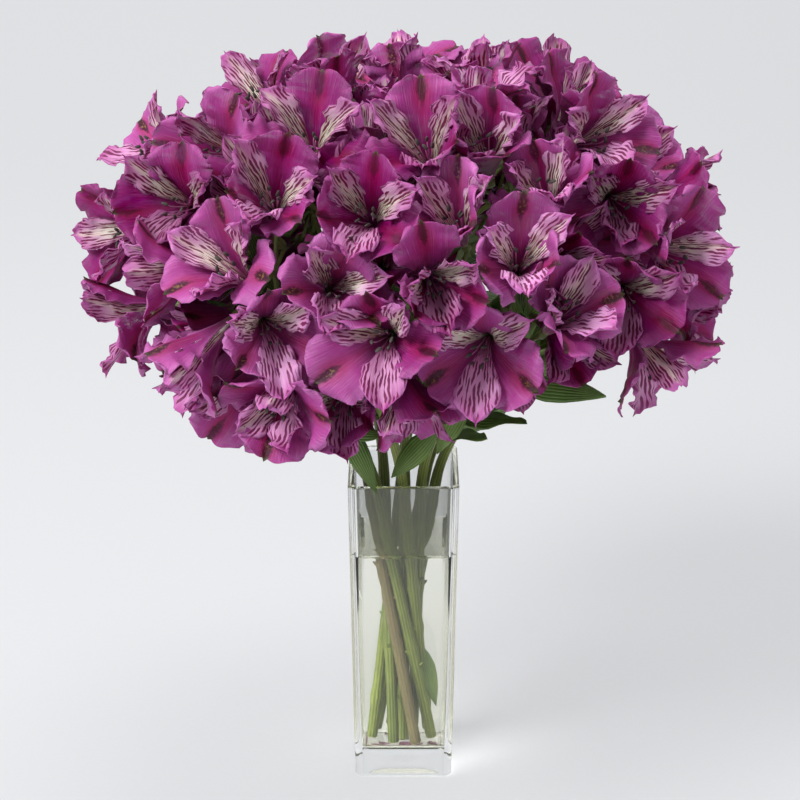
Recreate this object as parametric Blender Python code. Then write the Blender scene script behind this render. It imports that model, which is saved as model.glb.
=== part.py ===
"""Alstroemeria stems in a square glass vase of water.

Metres, +Z up. The origin is the middle of the vase's foot, and -Y is the front.
Nine cut stems cross in the vase and fan out into a dome of blooms. Each stem has leaves and ends
in an umbel of rays, each ray carries one or two blooms on pedicels, and each bloom has three broad
outer tepals and three narrower inner ones on its ovary.
"""

import math
from itertools import product

import bmesh
import bpy
import numpy as np
from mathutils import Matrix, Vector
from mathutils.bvhtree import BVHTree

# Vase: a three inch square glass, nine inches tall, that narrows to its foot
VASE_HEIGHT = 0.2286
VASE_RIM_HALF = 0.0381
VASE_FOOT_HALF = 0.0346
VASE_CORNER = 0.0045
VASE_RIM_WALL = 0.0042
VASE_FOOT_WALL = 0.0055
VASE_FLOOR = 0.022
VASE_LIP = 0.0010
CAVITY_ROUNDING = 0.0025
DIMPLE_RADIUS = 0.0107
DIMPLE_DEPTH = 0.0055
CORNER_POINTS = 3

# Water
WATER_LEVEL = 0.173
SEAT_GAP = 0.0003

# Stems: a ring of eight that turns between its feet and the rim, round one in the middle
RING_STEMS = 8
FOOT_RING = 0.0215
NECK_RING = 0.0225
NECK_HEIGHT = 0.216
FIRST_FOOT_DEG = -23.0
STEM_TWIST_DEG = -115.0
HEAD_TWIST_DEG = -14.0
STEM_JITTER = 0.0040
HEAD_RING = 0.086
HEAD_HEIGHT = 0.322
MIDDLE_HEAD_HEIGHT = 0.372
NECK_RISE = 0.050
STEM_RADIUS = 0.0037
STEM_TOP_RADIUS = 0.0028
STEM_SPACING = 0.0090
UPPER_STEPS = 3
KNOB_RADIUS = 0.0043

# Dome on which the throats of the blooms lie: a little boxier than an ellipsoid, higher on its right
DOME_CENTRE = Vector((0.0, 0.004, 0.386))
DOME_SIZE = Vector((0.176, 0.158, 0.101))
DOME_SQUARENESS = 2.4
DOME_LOWEST = 0.300
DOME_RIGHT_RISE = 0.060
FRONT_SPACING = 0.0435
BACK_SPACING = 0.0520
LATTICE_POINTS = 230
DEEPEST = 0.86
FARTHEST = 1.07
RELAX_STEPS = 40
PAIR_REACH = 0.075
MIDDLE_CONE_DEG = 27.0

# View that the front blooms' places are read from, in pixels of a square picture
VIEW_ELEVATION = math.radians(21.8)
VIEW_DISTANCE = 1.5
VIEW_TARGET = Vector((-0.0024, 0.0, 0.278))
VIEW_FOCAL = 2184.0
PICTURE_MIDDLE = 400.0
SEARCH_REACH = 0.35
SEARCH_STEP = 0.0004

# Each front bloom: the pixel of its throat, how far it leans right and up, and its roll in degrees
FRONT_BLOOMS = (
    (178, 210, -0.70, 0.35, 0),
    (178, 264, -0.75, -0.10, 10),
    (138, 312, -0.70, -0.35, 0),
    (205, 345, -0.45, -0.70, 15),
    (222, 152, -0.40, 0.25, -10),
    (262, 100, -0.25, 0.55, 0),
    (272, 200, -0.15, 0.15, 8),
    (310, 140, -0.10, 0.45, 0),
    (368, 215, 0.10, 0.30, -8),
    (335, 288, -0.05, 0.00, 0),
    (232, 268, -0.40, 0.00, 12),
    (284, 398, -0.20, -0.30, 23),
    (388, 330, 0.00, -0.20, 10),
    (345, 400, -0.10, -0.45, 0),
    (402, 392, 0.10, -0.75, 0),
    (482, 345, 0.05, -0.10, 27),
    (520, 262, 0.05, 0.20, -8),
    (562, 315, 0.15, 0.15, 0),
    (630, 296, 0.45, 0.10, -15),
    (592, 138, 0.55, 0.35, -20),
    (545, 195, 0.10, 0.20, 0),
    (425, 150, 0.00, 0.35, 10),
    (338, 92, -0.10, 0.75, 0),
    (402, 88, 0.00, 0.80, 0),
    (476, 94, 0.05, 0.70, 0),
    (556, 92, 0.25, 0.70, 0),
    (622, 208, 0.50, 0.20, 0),
    (662, 250, 0.70, 0.00, 0),
    (652, 345, 0.30, -0.60, -20),
    (455, 228, 0.00, 0.20, 0),
    (485, 155, 0.05, 0.40, 0),
    (628, 162, 0.55, 0.15, -10),
    (676, 308, 0.70, -0.20, 0),
    (430, 285, 0.10, 0.05, -10),
    (250, 388, -0.20, -0.45, 0),
    (268, 328, -0.10, -0.10, 0),
)

# Leaves that the picture shows: the pixel of the root, the pixel of the tip, and the half width
PHOTO_LEAVES = (
    (500, 388, 606, 396, 0.0105),
    (505, 372, 603, 350, 0.0095),
    (335, 425, 373, 486, 0.0080),
    (432, 428, 395, 474, 0.0085),
    (470, 400, 440, 448, 0.0085),
)

# Bloom: lengths along a tepal's midrib, and half widths as a share of that length
OUTER_LENGTH = 0.058
INNER_LENGTH = 0.061
OUTER_HALF_WIDTH = 0.32
INNER_HALF_WIDTH = 0.175
LOWER_HALF_WIDTH = 0.235
THROAT_DEPTH = 0.024
BASE_RADIUS = 0.0024
BASE_LEAN_DEG = 12.0
RIB_HALF_THICKNESS = 0.0007
TEST_CLEARANCE = 0.0007
OUTER_ROWS = (0.36, 0.73)
INNER_ROWS = (0.40, 0.76)
RIB_STEPS = 12
SIZE_SPREAD = 0.07
FACING_SPREAD = 0.52
FRONT_LEAN_SPREAD = 0.40
OVARY_RADIUS = 0.0033
OVARY_LENGTH = 0.0085
PEDICEL_RADIUS = 0.0014
PEDICEL_LENGTH = 0.024
PEDICEL_SIDES = 4
PEDICEL_TURN = -0.3
TRUNK_LENGTH = 0.0025
FORK_BACKS = (0.0, 0.012, 0.024)
FORK_SHIFTS = (0.0, 0.005, 0.010, 0.016)
ROD_GAP = 0.0005
RAY_RADIUS = 0.0019

# Six tepals, each 60 degrees on from the last: kind, and how wide it opens beside the others
TEPALS = (
    ("inner", 0.74),
    ("outer", 0.90),
    ("inner", 0.74),
    ("outer", 1.00),
    ("lower", 0.84),
    ("outer", 1.00),
)
FIRST_TEPAL_DEG = 30.0
CLOSED_DEG = 26.0
WIDEST_DEG = 96.0
LEAST_OPEN = 0.56
TEPAL_SPREAD = 0.10
OPENING_STEP_DEG = 6.0
NARROWEST = 0.5
UNTANGLE_STEPS = 14

# Leaves
LOW_LEAVES = 3
HIGH_LEAVES = 3
LEAF_LENGTH = 0.078
LEAF_HALF_WIDTH = 0.0105
LEAF_LOWEST = 0.252
LEAF_TIP_LOWEST = 0.285
LEAF_HIGHEST_BELOW_HEAD = 0.004
LEAF_HALF_THICKNESS = 0.0006
LEAF_TRIES = 16
PHOTO_LEAF_DROOP = 0.12
PHOTO_LEAF_FORWARD = 0.012
PHOTO_LEAF_LOWEST = 0.236

SEED = 20
SHARP_ANGLE = math.radians(35.0)

GLASS = ("vase_glass", (0.86, 0.90, 0.89, 0.35), 0.02)
WATER = ("water", (0.87, 0.90, 0.82, 0.5), 0.02)
GREEN = ("stem_green", (0.19, 0.30, 0.07, 1.0), 0.55)
PURPLE = ("tepal_purple", (0.42, 0.06, 0.33, 1.0), 0.50)

UP = Vector((0, 0, 1))


def clear_scene():
    """Removes the objects that the scene starts with."""
    for obj in list(bpy.data.objects):
        bpy.data.objects.remove(obj)


def material(finish):
    """The material of a (name, colour, roughness) finish, made once."""
    name, colour, roughness = finish
    made = bpy.data.materials.get(name)
    if made is None:
        made = bpy.data.materials.new(name)
        made.use_nodes = True
        shader = made.node_tree.nodes["Principled BSDF"]
        shader.inputs["Base Color"].default_value = colour
        shader.inputs["Roughness"].default_value = roughness
        shader.inputs["Metallic"].default_value = 0.0
    return made


def add_object(name, mesh, collection=None):
    """A linked object of this mesh."""
    obj = bpy.data.objects.new(name, mesh)
    (collection or bpy.context.scene.collection).objects.link(obj)
    return obj


def mesh_of(bm, name):
    """The mesh of a bmesh, with its doubles merged and its faces turned outwards."""
    bmesh.ops.remove_doubles(bm, verts=bm.verts, dist=1e-7)
    bmesh.ops.recalc_face_normals(bm, faces=bm.faces)
    bmesh.ops.triangulate(bm, faces=[f for f in bm.faces if len(f.verts) > 4])
    mesh = bpy.data.meshes.new(name)
    bm.to_mesh(mesh)
    bm.free()
    return mesh


def mesh_from(verts, faces, name):
    """The mesh of plain points and faces."""
    bm = bmesh.new()
    made = [bm.verts.new(v) for v in verts]
    for face in faces:
        bm.faces.new([made[i] for i in face])
    return mesh_of(bm, name)


def tube(name, points, radii, sides):
    """A closed tube through the points: a POLY curve with a bevel and filled caps, made a mesh."""
    curve = bpy.data.curves.new(name, "CURVE")
    curve.dimensions = "3D"
    curve.bevel_depth = 1.0
    curve.bevel_resolution = (sides - 4) // 2
    curve.use_fill_caps = True
    spline = curve.splines.new("POLY")
    spline.points.add(len(points) - 1)
    for spot, point, radius in zip(spline.points, points, radii):
        spot.co = (*point, 1.0)
        spot.radius = radius
    holder = add_object(name, curve)
    graph = bpy.context.evaluated_depsgraph_get()
    made = bpy.data.meshes.new_from_object(holder.evaluated_get(graph))
    bpy.data.objects.remove(holder)
    bm = bmesh.new()
    bm.from_mesh(made)
    return mesh_of(bm, name)


def disc(radius, low, high, name):
    """A round plate between two heights on the vase's axis."""
    bm = bmesh.new()
    place = Matrix.Translation((0, 0, (low + high) / 2))
    bmesh.ops.create_cone(
        bm, cap_ends=True, segments=16, radius1=radius, radius2=radius, depth=high - low, matrix=place
    )
    return mesh_of(bm, name)


def combined(name, meshes, operation="UNION", solver="EXACT"):
    """The first mesh with the others joined to it, or cut from it, by one Boolean."""
    obj = add_object(name, meshes[0])
    helpers = bpy.data.collections.new(name + "_pieces")
    bpy.context.scene.collection.children.link(helpers)
    for i, mesh in enumerate(meshes[1:]):
        add_object(f"{name}_piece_{i}", mesh, helpers)
    boolean = obj.modifiers.new("join", "BOOLEAN")
    boolean.operation = operation
    boolean.operand_type = "COLLECTION"
    boolean.collection = helpers
    boolean.solver = solver
    graph = bpy.context.evaluated_depsgraph_get()
    result = bpy.data.meshes.new_from_object(obj.evaluated_get(graph))
    for helper in [obj, *helpers.objects]:
        bpy.data.objects.remove(helper)
    bpy.data.collections.remove(helpers)
    return result


def finished(name, mesh, finish):
    """The node of this mesh, wearing the finish."""
    mesh.materials.clear()
    mesh.materials.append(material(finish))
    mesh.shade_smooth()
    mesh.set_sharp_from_angle(angle=SHARP_ANGLE)
    return add_object(name, mesh)


# Vase and water


def rounded_square(half, corner, height):
    """The points of a level square loop with rounded corners, anticlockwise."""
    points = []
    for quarter in range(4):
        middle = math.radians(45 + 90 * quarter)
        inset = (half - corner) * math.sqrt(2)
        centre = Vector((inset * math.cos(middle), inset * math.sin(middle), height))
        for i in range(CORNER_POINTS):
            turn = math.radians(90 * quarter + 90 * i / (CORNER_POINTS - 1))
            points.append(centre + corner * Vector((math.cos(turn), math.sin(turn), 0)))
    return points


def outer_half(height):
    """Half the width of the vase at a height."""
    return VASE_FOOT_HALF + height / VASE_HEIGHT * (VASE_RIM_HALF - VASE_FOOT_HALF)


def inner_half(height):
    """Half the width of the vase's cavity at a height."""
    share = (height - VASE_FLOOR) / (VASE_HEIGHT - VASE_FLOOR)
    return outer_half(height) - VASE_FOOT_WALL - share * (VASE_RIM_WALL - VASE_FOOT_WALL)


def lofted(name, loops):
    """A closed solid whose skin passes through level loops, with flat caps on the first and last."""
    bm = bmesh.new()
    rings = [[bm.verts.new(p) for p in loop] for loop in loops]
    for low, high in zip(rings, rings[1:]):
        for i in range(len(low)):
            j = (i + 1) % len(low)
            bm.faces.new((low[i], low[j], high[j], high[i]))
    bm.faces.new(list(reversed(rings[0])))
    bm.faces.new(rings[-1])
    return mesh_of(bm, name)


def outer_loop(height, inset=0.0):
    """One level loop of the vase's outside."""
    return rounded_square(outer_half(height) - inset, VASE_CORNER, height)


def inner_loop(height, inset=0.0):
    """One level loop of the vase's cavity."""
    return rounded_square(inner_half(height) - inset, VASE_CORNER * 0.7, height)


def make_vase():
    """The glass: a thick floor with a round dimple, walls that flare a little, and a soft lip."""
    skin = lofted(
        "vase",
        [
            outer_loop(0.0, VASE_LIP),
            outer_loop(VASE_LIP),
            outer_loop(VASE_HEIGHT - VASE_LIP),
            outer_loop(VASE_HEIGHT, VASE_LIP),
            inner_loop(VASE_HEIGHT, -VASE_LIP),
            inner_loop(VASE_HEIGHT - VASE_LIP),
            inner_loop(VASE_FLOOR + CAVITY_ROUNDING),
            inner_loop(VASE_FLOOR, CAVITY_ROUNDING),
        ],
    )
    dimple = disc(DIMPLE_RADIUS, VASE_FLOOR - DIMPLE_DEPTH, VASE_FLOOR + DIMPLE_DEPTH, "dimple")
    finished("vase", combined("vase", [skin, dimple], "DIFFERENCE"), GLASS)


def make_water(stems):
    """The water, clear of the glass, with a plain hole for each stem."""
    low = VASE_FLOOR + SEAT_GAP
    skin = lofted(
        "water",
        [
            inner_loop(low, CAVITY_ROUNDING + SEAT_GAP),
            inner_loop(low + CAVITY_ROUNDING, SEAT_GAP),
            inner_loop(WATER_LEVEL, SEAT_GAP),
        ],
    )
    dimple_foot = VASE_FLOOR - DIMPLE_DEPTH + SEAT_GAP
    fill = disc(DIMPLE_RADIUS - SEAT_GAP, dimple_foot, VASE_FLOOR + DIMPLE_DEPTH, "fill")
    body = combined("water", [skin, fill])
    holes = [stem.hole() for stem in stems]
    finished("water", combined("water", [body, *holes], "DIFFERENCE"), WATER)


# Stems


class Stem:
    """One cut stem: a straight foot in the vase, then a curve out to its umbel."""

    def __init__(self, name, foot, neck, head):
        self.name = name
        self.foot = foot
        self.neck = neck
        self.head = head
        self.blooms = []
        self.cymes = []
        self.leaves = []

    def settle(self):
        """Fixes the path once the foot and the neck are in place."""
        turn = self.neck + (self.neck - self.foot).normalized() * NECK_RISE
        self.path = [self.foot, self.neck]
        self.radii = [STEM_RADIUS, STEM_RADIUS]
        for i in range(1, UPPER_STEPS + 1):
            t = i / UPPER_STEPS
            self.path.append((1 - t) ** 2 * self.neck + 2 * t * (1 - t) * turn + t * t * self.head)
            self.radii.append(STEM_RADIUS * (1 - t) + STEM_TOP_RADIUS * t)

    def hole(self):
        """The hole that the stem needs in the water, open at both ends."""
        below = self.foot + (self.foot - self.neck).normalized() * 0.004
        radius = STEM_RADIUS + SEAT_GAP
        return tube("hole", [below, *self.path[1:3]], [radius] * 3, 8)

    def at(self, height):
        """The middle of the stem at a height, and its direction there."""
        for low, high in zip(self.path, self.path[1:]):
            if low.z <= height <= high.z:
                share = (height - low.z) / (high.z - low.z)
                return low.lerp(high, share), (high - low).normalized()
        return self.path[-1], (self.path[-1] - self.path[-2]).normalized()

    def rods(self):
        """The straight pieces of the bare stem above the vase: each one's ends and radius."""
        ends = zip(self.path[1:], self.path[2:], self.radii[1:])
        return [Rod(low, high, radius) for low, high, radius in ends]


def around(radius, degrees, height):
    """A point on a level ring about the vase's middle."""
    turn = math.radians(degrees)
    return Vector((radius * math.cos(turn), radius * math.sin(turn), height))


def make_stems(chance):
    """The nine stems, in the order of their feet, with the middle one last."""
    foot_height = VASE_FLOOR + SEAT_GAP
    stems = []
    for i in range(RING_STEMS):
        turn = FIRST_FOOT_DEG + 360.0 * i / RING_STEMS
        foot = around(FOOT_RING, turn, foot_height) + jitter(chance)
        neck = around(NECK_RING, turn + STEM_TWIST_DEG, NECK_HEIGHT) + jitter(chance)
        head = around(HEAD_RING, turn + STEM_TWIST_DEG + HEAD_TWIST_DEG, HEAD_HEIGHT) + 2 * jitter(chance)
        stems.append(Stem(f"stem_{i + 1}", foot, neck, head))
    foot = Vector((0, 0, foot_height - DIMPLE_DEPTH))
    head = Vector((0, 0.01, MIDDLE_HEAD_HEIGHT))
    stems.append(Stem(f"stem_{RING_STEMS + 1}", foot, Vector((0.001, 0, NECK_HEIGHT)), head))
    spread_stems(stems)
    for stem in stems:
        tilt = (stem.neck - stem.foot).angle(UP)
        stem.foot.z += STEM_RADIUS * math.sin(tilt)
        stem.settle()
    return stems


def jitter(chance):
    """A small level shift."""
    return Vector((*chance.uniform(-STEM_JITTER, STEM_JITTER, 2), 0))


def spread_stems(stems):
    """Pushes the straight feet of the stems apart until none touches another or the glass."""
    foot_room = inner_half(VASE_FLOOR) - CAVITY_ROUNDING - STEM_RADIUS - 2 * SEAT_GAP
    neck_room = inner_half(NECK_HEIGHT) - STEM_RADIUS - 0.002
    for _ in range(RELAX_STEPS * 5):
        for i, first in enumerate(stems):
            for second in stems[i + 1 :]:
                for share in (0, 0.17, 0.33, 0.5, 0.67, 0.83, 1):
                    apart = second.foot.lerp(second.neck, share) - first.foot.lerp(first.neck, share)
                    apart.z = 0
                    short = STEM_SPACING - apart.length
                    if short > 0:
                        shift = apart.normalized() * (short / 2)
                        first.foot -= shift * (1 - share)
                        first.neck -= shift * share
                        second.foot += shift * (1 - share) * (second is not stems[-1])
                        second.neck += shift * share
        for stem in stems:
            for end, room in ((stem.foot, foot_room), (stem.neck, neck_room)):
                end.x = max(-room, min(room, end.x))
                end.y = max(-room, min(room, end.y))


# Places of the blooms


def view_axes():
    """Right, up in the picture and towards the eye."""
    right = Vector((1, 0, 0))
    up = Vector((0, math.sin(VIEW_ELEVATION), math.cos(VIEW_ELEVATION)))
    towards = Vector((0, -math.cos(VIEW_ELEVATION), math.sin(VIEW_ELEVATION)))
    return right, up, towards


def pixel_line(pixel_x, pixel_y):
    """The eye, and the direction of the line through a pixel of the picture."""
    right, up, towards = view_axes()
    eye = VIEW_TARGET + towards * VIEW_DISTANCE
    across = right * (pixel_x - PICTURE_MIDDLE) + up * (PICTURE_MIDDLE - pixel_y)
    return eye, (across - towards * VIEW_FOCAL).normalized()


def dome_reach(offset):
    """How far out an offset from the dome's centre is: 1 on the dome."""
    total = sum(abs(a / b) ** DOME_SQUARENESS for a, b in zip(offset, DOME_SIZE))
    return total ** (1 / DOME_SQUARENESS)


def on_dome(point, depth=1.0):
    """The point of the dome in the direction of this one, times a depth."""
    offset = point - DOME_CENTRE
    return DOME_CENTRE + offset * (depth / dome_reach(offset))


def dome_normal(point):
    """The dome's outward direction at a point."""
    slopes = []
    for offset, size in zip(point - DOME_CENTRE, DOME_SIZE):
        slopes.append(math.copysign(abs(offset / size) ** (DOME_SQUARENESS - 1), offset) / size)
    return Vector(slopes).normalized()


def seen_at(pixel_x, pixel_y, depth):
    """The first point at this depth of the dome on a pixel's line, or else the line's deepest point."""
    eye, line = pixel_line(pixel_x, pixel_y)
    way = VIEW_DISTANCE - SEARCH_REACH
    best = eye + line * way
    while way < VIEW_DISTANCE + SEARCH_REACH and dome_reach(best - DOME_CENTRE) > depth:
        way += SEARCH_STEP
        spot = eye + line * way
        if dome_reach(spot - DOME_CENTRE) < dome_reach(best - DOME_CENTRE):
            best = spot
    return best


def spacing_at(point):
    """How far apart the blooms stand at a point: closer at the front than at the back."""
    share = 0.5 + 0.5 * (point.y - DOME_CENTRE.y) / DOME_SIZE.y
    return FRONT_SPACING + (BACK_SPACING - FRONT_SPACING) * max(0.0, min(1.0, share))


def lattice_points():
    """Points spread evenly over the dome, above its open underside."""
    golden = math.pi * (3 - math.sqrt(5))
    found = []
    for i in range(LATTICE_POINTS):
        height = 1 - 2 * (i + 0.5) / LATTICE_POINTS
        ring = math.sqrt(1 - height * height)
        way = (ring * math.cos(golden * i), ring * math.sin(golden * i), height)
        point = on_dome(DOME_CENTRE + Vector(a * b for a, b in zip(way, DOME_SIZE)))
        if point.z >= DOME_LOWEST + DOME_RIGHT_RISE * max(0.0, point.x) / DOME_SIZE.x:
            found.append(point)
    return found


class Bloom:
    """One bloom: its throat, the way that it faces, and how wide each tepal opens."""

    def __init__(self, throat, facing, depth, size, roll):
        self.throat = throat
        self.facing = facing
        self.depth = depth
        self.size = size
        self.roll = roll
        self.openings = [CLOSED_DEG] * len(TEPALS)
        self.slimness = [1.0] * len(TEPALS)

    def settle(self):
        """Fixes the base and the axes once the throat is in place."""
        self.base = self.throat - self.facing * (THROAT_DEPTH * self.size)
        self.foot = self.base - self.facing * OVARY_LENGTH
        top = UP - self.facing * self.facing.z
        if top.length < 0.05:
            top = Vector((0, 1, 0)) - self.facing * self.facing.y
        top.normalize()
        top.rotate(Matrix.Rotation(math.radians(self.roll), 3, self.facing))
        self.up = top
        self.side = top.cross(self.facing)

    def away(self, degrees):
        """The direction off the bloom's axis at a turn round it."""
        turn = math.radians(degrees)
        return self.side * math.cos(turn) + self.up * math.sin(turn)


def place_blooms(chance):
    """All the blooms: those read from the picture, then the dome's lattice where there is room."""
    right, up, towards = view_axes()
    made = []
    for pixel_x, pixel_y, lean_right, lean_up, roll in FRONT_BLOOMS:
        lean_right += chance.uniform(-FRONT_LEAN_SPREAD, FRONT_LEAN_SPREAD)
        lean_up += chance.uniform(-FRONT_LEAN_SPREAD, FRONT_LEAN_SPREAD)
        rest = math.sqrt(max(0.05, 1 - lean_right**2 - lean_up**2))
        facing = (right * lean_right + up * lean_up + towards * rest).normalized()
        depth = chance.uniform(0.92, FARTHEST)
        size = 1 + chance.uniform(0, SIZE_SPREAD)
        throat = seen_at(pixel_x, pixel_y, depth)
        made.append(Bloom(throat, facing, dome_reach(throat - DOME_CENTRE), size, roll))
    for point in lattice_points():
        depth = chance.uniform(DEEPEST, FARTHEST)
        tilt = Vector(chance.uniform(-1, 1, 3)) * FACING_SPREAD
        size = 1 + chance.uniform(-SIZE_SPREAD, SIZE_SPREAD)
        roll = chance.uniform(-30, 30)
        throat = on_dome(point, depth)
        room = spacing_at(throat)
        if all((throat - other.throat).length > room for other in made):
            made.append(Bloom(throat, (dome_normal(point) + tilt).normalized(), depth, size, roll))
    spread_blooms(made)
    for bloom in made:
        bloom.settle()
    untangle(made)
    return made


def spread_blooms(blooms):
    """Pushes neighbours apart over the dome, where those of the lattice give way to those of the picture."""
    shown = len(FRONT_BLOOMS)
    for _ in range(RELAX_STEPS):
        for i, first in enumerate(blooms):
            for j in range(i + 1, len(blooms)):
                second = blooms[j]
                apart = second.throat - first.throat
                short = spacing_at(first.throat.lerp(second.throat, 0.5)) - apart.length
                if short > 0:
                    alike = (i < shown) == (j < shown)
                    shift = apart.normalized() * (short / 2 if alike else short)
                    if alike:
                        first.throat = on_dome(first.throat - shift, first.depth)
                    second.throat = on_dome(second.throat + shift, second.depth)


def untangle(blooms):
    """Turns and shrinks blooms a little until none of their buds crosses another's."""
    for step in range(UNTANGLE_STEPS):
        buds = [bud_trees(bloom) for bloom in blooms]
        tangled = set()
        for i, first in enumerate(buds):
            for j in range(i + 1, len(buds)):
                if (blooms[i].throat - blooms[j].throat).length < 2.2 * OUTER_LENGTH:
                    if any(a.overlap(b) for a in first for b in buds[j]):
                        tangled |= {i, j}
        for i in sorted(tangled):
            bloom = blooms[i]
            bloom.facing = bloom.facing.lerp(dome_normal(bloom.throat), 0.3).normalized()
            if step > UNTANGLE_STEPS // 2:
                bloom.size *= 0.94
            bloom.settle()


def share_out(blooms, stems):
    """Gives each bloom to a stem: the middle one takes the top, the others their own side."""
    apex = Vector((0, 0, NECK_HEIGHT))
    for bloom in blooms:
        way = (bloom.base - apex).normalized()
        if way.angle(UP) < math.radians(MIDDLE_CONE_DEG):
            stems[-1].blooms.append(bloom)
            continue
        bearing = Vector((way.x, way.y, 0))
        nearest = max(stems[:-1], key=lambda stem: bearing.dot(level_direction(stem.head)))
        nearest.blooms.append(bloom)


def level_direction(point):
    """The level direction from the vase's axis to a point."""
    return Vector((point.x, point.y, 0)).normalized()


def pair_up(blooms):
    """The blooms in ones and twos, nearest neighbours first."""
    left = sorted(blooms, key=lambda bloom: -bloom.base.z)
    groups = []
    while left:
        first = left.pop(0)
        near = sorted(left, key=lambda bloom: (bloom.base - first.base).length)
        if near and (near[0].base - first.base).length < PAIR_REACH:
            left.remove(near[0])
            groups.append([first, near[0]])
        else:
            groups.append([first])
    return groups


# Rays and pedicels


class Rod:
    """A straight round piece of a stem, a ray or a pedicel."""

    def __init__(self, start, end, radius):
        self.start = start
        self.end = end
        self.radius = radius

    def distance(self, point):
        """The distance from a point to the rod's middle line."""
        line = self.end - self.start
        share = max(0.0, min(1.0, (point - self.start).dot(line) / line.length_squared))
        return (self.start + line * share - point).length

    def touches(self, other):
        """Whether another rod comes too near."""
        nearest = min(other.distance(self.start.lerp(self.end, i / 16)) for i in range(17))
        return nearest < self.radius + other.radius + ROD_GAP

    def tree(self):
        """The swollen rod's six sides as a tree of triangles, for overlap tests."""
        line = (self.end - self.start).normalized()
        side = line.orthogonal().normalized() * (self.radius + TEST_CLEARANCE)
        other = line.cross(side)
        verts, faces = [], []
        for i in range(6):
            turn = math.radians(60 * i)
            way = side * math.cos(turn) + other * math.sin(turn)
            low, high = 2 * i, 2 * ((i + 1) % 6)
            verts += [self.start + way, self.end + way]
            faces += [(low, high, high + 1), (low, high + 1, low + 1)]
        return BVHTree.FromPolygons(verts, faces, all_triangles=True)


class Cyme:
    """One or two blooms on the pedicels that fork from the end of a ray."""

    def __init__(self, name, stem, blooms):
        self.name = name
        self.stem = stem
        self.blooms = blooms
        self.middle = sum((bloom.foot for bloom in blooms), Vector()) / len(blooms)

    def place_fork(self, back, shift, turn):
        """Puts the fork a little way back from the blooms, moved sideways by a shift at a turn."""
        head = self.stem.head
        line = self.middle - head
        side = line.orthogonal().normalized()
        side.rotate(Matrix.Rotation(turn, 3, line.normalized()))
        reach = max(line.length - PEDICEL_LENGTH - back, KNOB_RADIUS * 2)
        self.fork = head + line.normalized() * reach + side * shift
        self.way = (self.fork - head).normalized()
        self.bend = self.fork + self.way * TRUNK_LENGTH
        self.ray = Rod(head, self.fork - self.way * SEAT_GAP, RAY_RADIUS)
        self.pedicels = [Rod(self.bend, bloom.foot, PEDICEL_RADIUS) for bloom in self.blooms]

    def find_fork(self, rods, buds):
        """Takes the first place for the fork where its rods are clear of what stands already."""
        for back, shift, turn in product(FORK_BACKS, FORK_SHIFTS, range(0, 360, 45)):
            self.place_fork(back, shift, math.radians(turn))
            if not self.blocked(rods, buds):
                return

    def blocked(self, rods, buds):
        """Whether another cyme's or stem's rod or a bud is in the way, or a pedicel turns back."""
        if any((bloom.foot - self.bend).normalized().dot(self.way) < PEDICEL_TURN for bloom in self.blooms):
            return True
        for own in [self.ray, *self.pedicels]:
            if any(own.touches(other) for owner, other in rods if owner is not self.stem):
                return True
            if own is not self.ray and any(own.touches(o) for owner, o in rods if owner is self.stem):
                return True
            tree, borne = own.tree(), [] if own is self.ray else self.blooms
            if any(tree.overlap(bud) for bloom, bud in buds if bloom not in borne):
                return True
        return False

    def build(self):
        """The pedicels, the ovaries and all their tepals as one body."""
        meshes = []
        for bloom in self.blooms:
            trunk = [(self.fork, PEDICEL_RADIUS, self.way), (self.bend, PEDICEL_RADIUS, self.way)]
            branch = [(self.bend, PEDICEL_RADIUS * 0.6, (bloom.foot - self.bend).normalized())]
            meshes.append(bloom_mesh(bloom, branch if meshes else trunk))
        # The exact solver leaves nothing of two of these pairs of thin blooms
        body = combined(self.name, meshes, solver="MANIFOLD") if len(meshes) > 1 else meshes[0]
        finished(self.name, body, PURPLE)


def make_cymes(stems, blooms):
    """The cymes of all the stems, named for their stem and their place in its umbel."""
    rods = [(stem, rod) for stem in stems for rod in stem.rods()]
    buds = [(bloom, tree) for bloom in blooms for tree in bud_trees(bloom)]
    buds += [(None, leaf.tree()) for stem in stems for leaf in stem.leaves]
    made = []
    for stem in stems:
        for i, pair in enumerate(pair_up(stem.blooms)):
            cyme = Cyme(f"{stem.name}_cyme_{i + 1}", stem, pair)
            cyme.find_fork(rods, buds)
            rods.append((stem, cyme.ray))
            rods += [(cyme, rod) for rod in cyme.pedicels]
            stem.cymes.append(cyme)
            made.append(cyme)
    return made, rods


# Tepals


def half_width(kind, share):
    """Half a tepal's width at a share of its length, in lengths: a slim claw, a blade, a point."""
    if kind == "outer":
        shape = ((0, 0.07), (0.36, 0.22), (0.55, 0.76), (0.73, 1.0), (1, 0.46))
        return OUTER_HALF_WIDTH * profile(shape, share)
    shape = ((0, 0.08), (0.40, 0.34), (0.60, 0.86), (0.76, 1.0), (0.92, 0.56), (1, 0))
    return (INNER_HALF_WIDTH if kind == "inner" else LOWER_HALF_WIDTH) * profile(shape, share)


def profile(marks, share):
    """A value read off straight lines between marks."""
    return float(np.interp(share, [m[0] for m in marks], [m[1] for m in marks]))


def rib_angle(kind, share, opening):
    """How far the midrib leans from the bloom's axis at a share of its length, in radians."""
    bend = max(0.0, (share - 0.10) / 0.90) ** (0.80 if kind == "outer" else 1.0)
    return math.radians(BASE_LEAN_DEG + (opening - BASE_LEAN_DEG) * bend)


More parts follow.
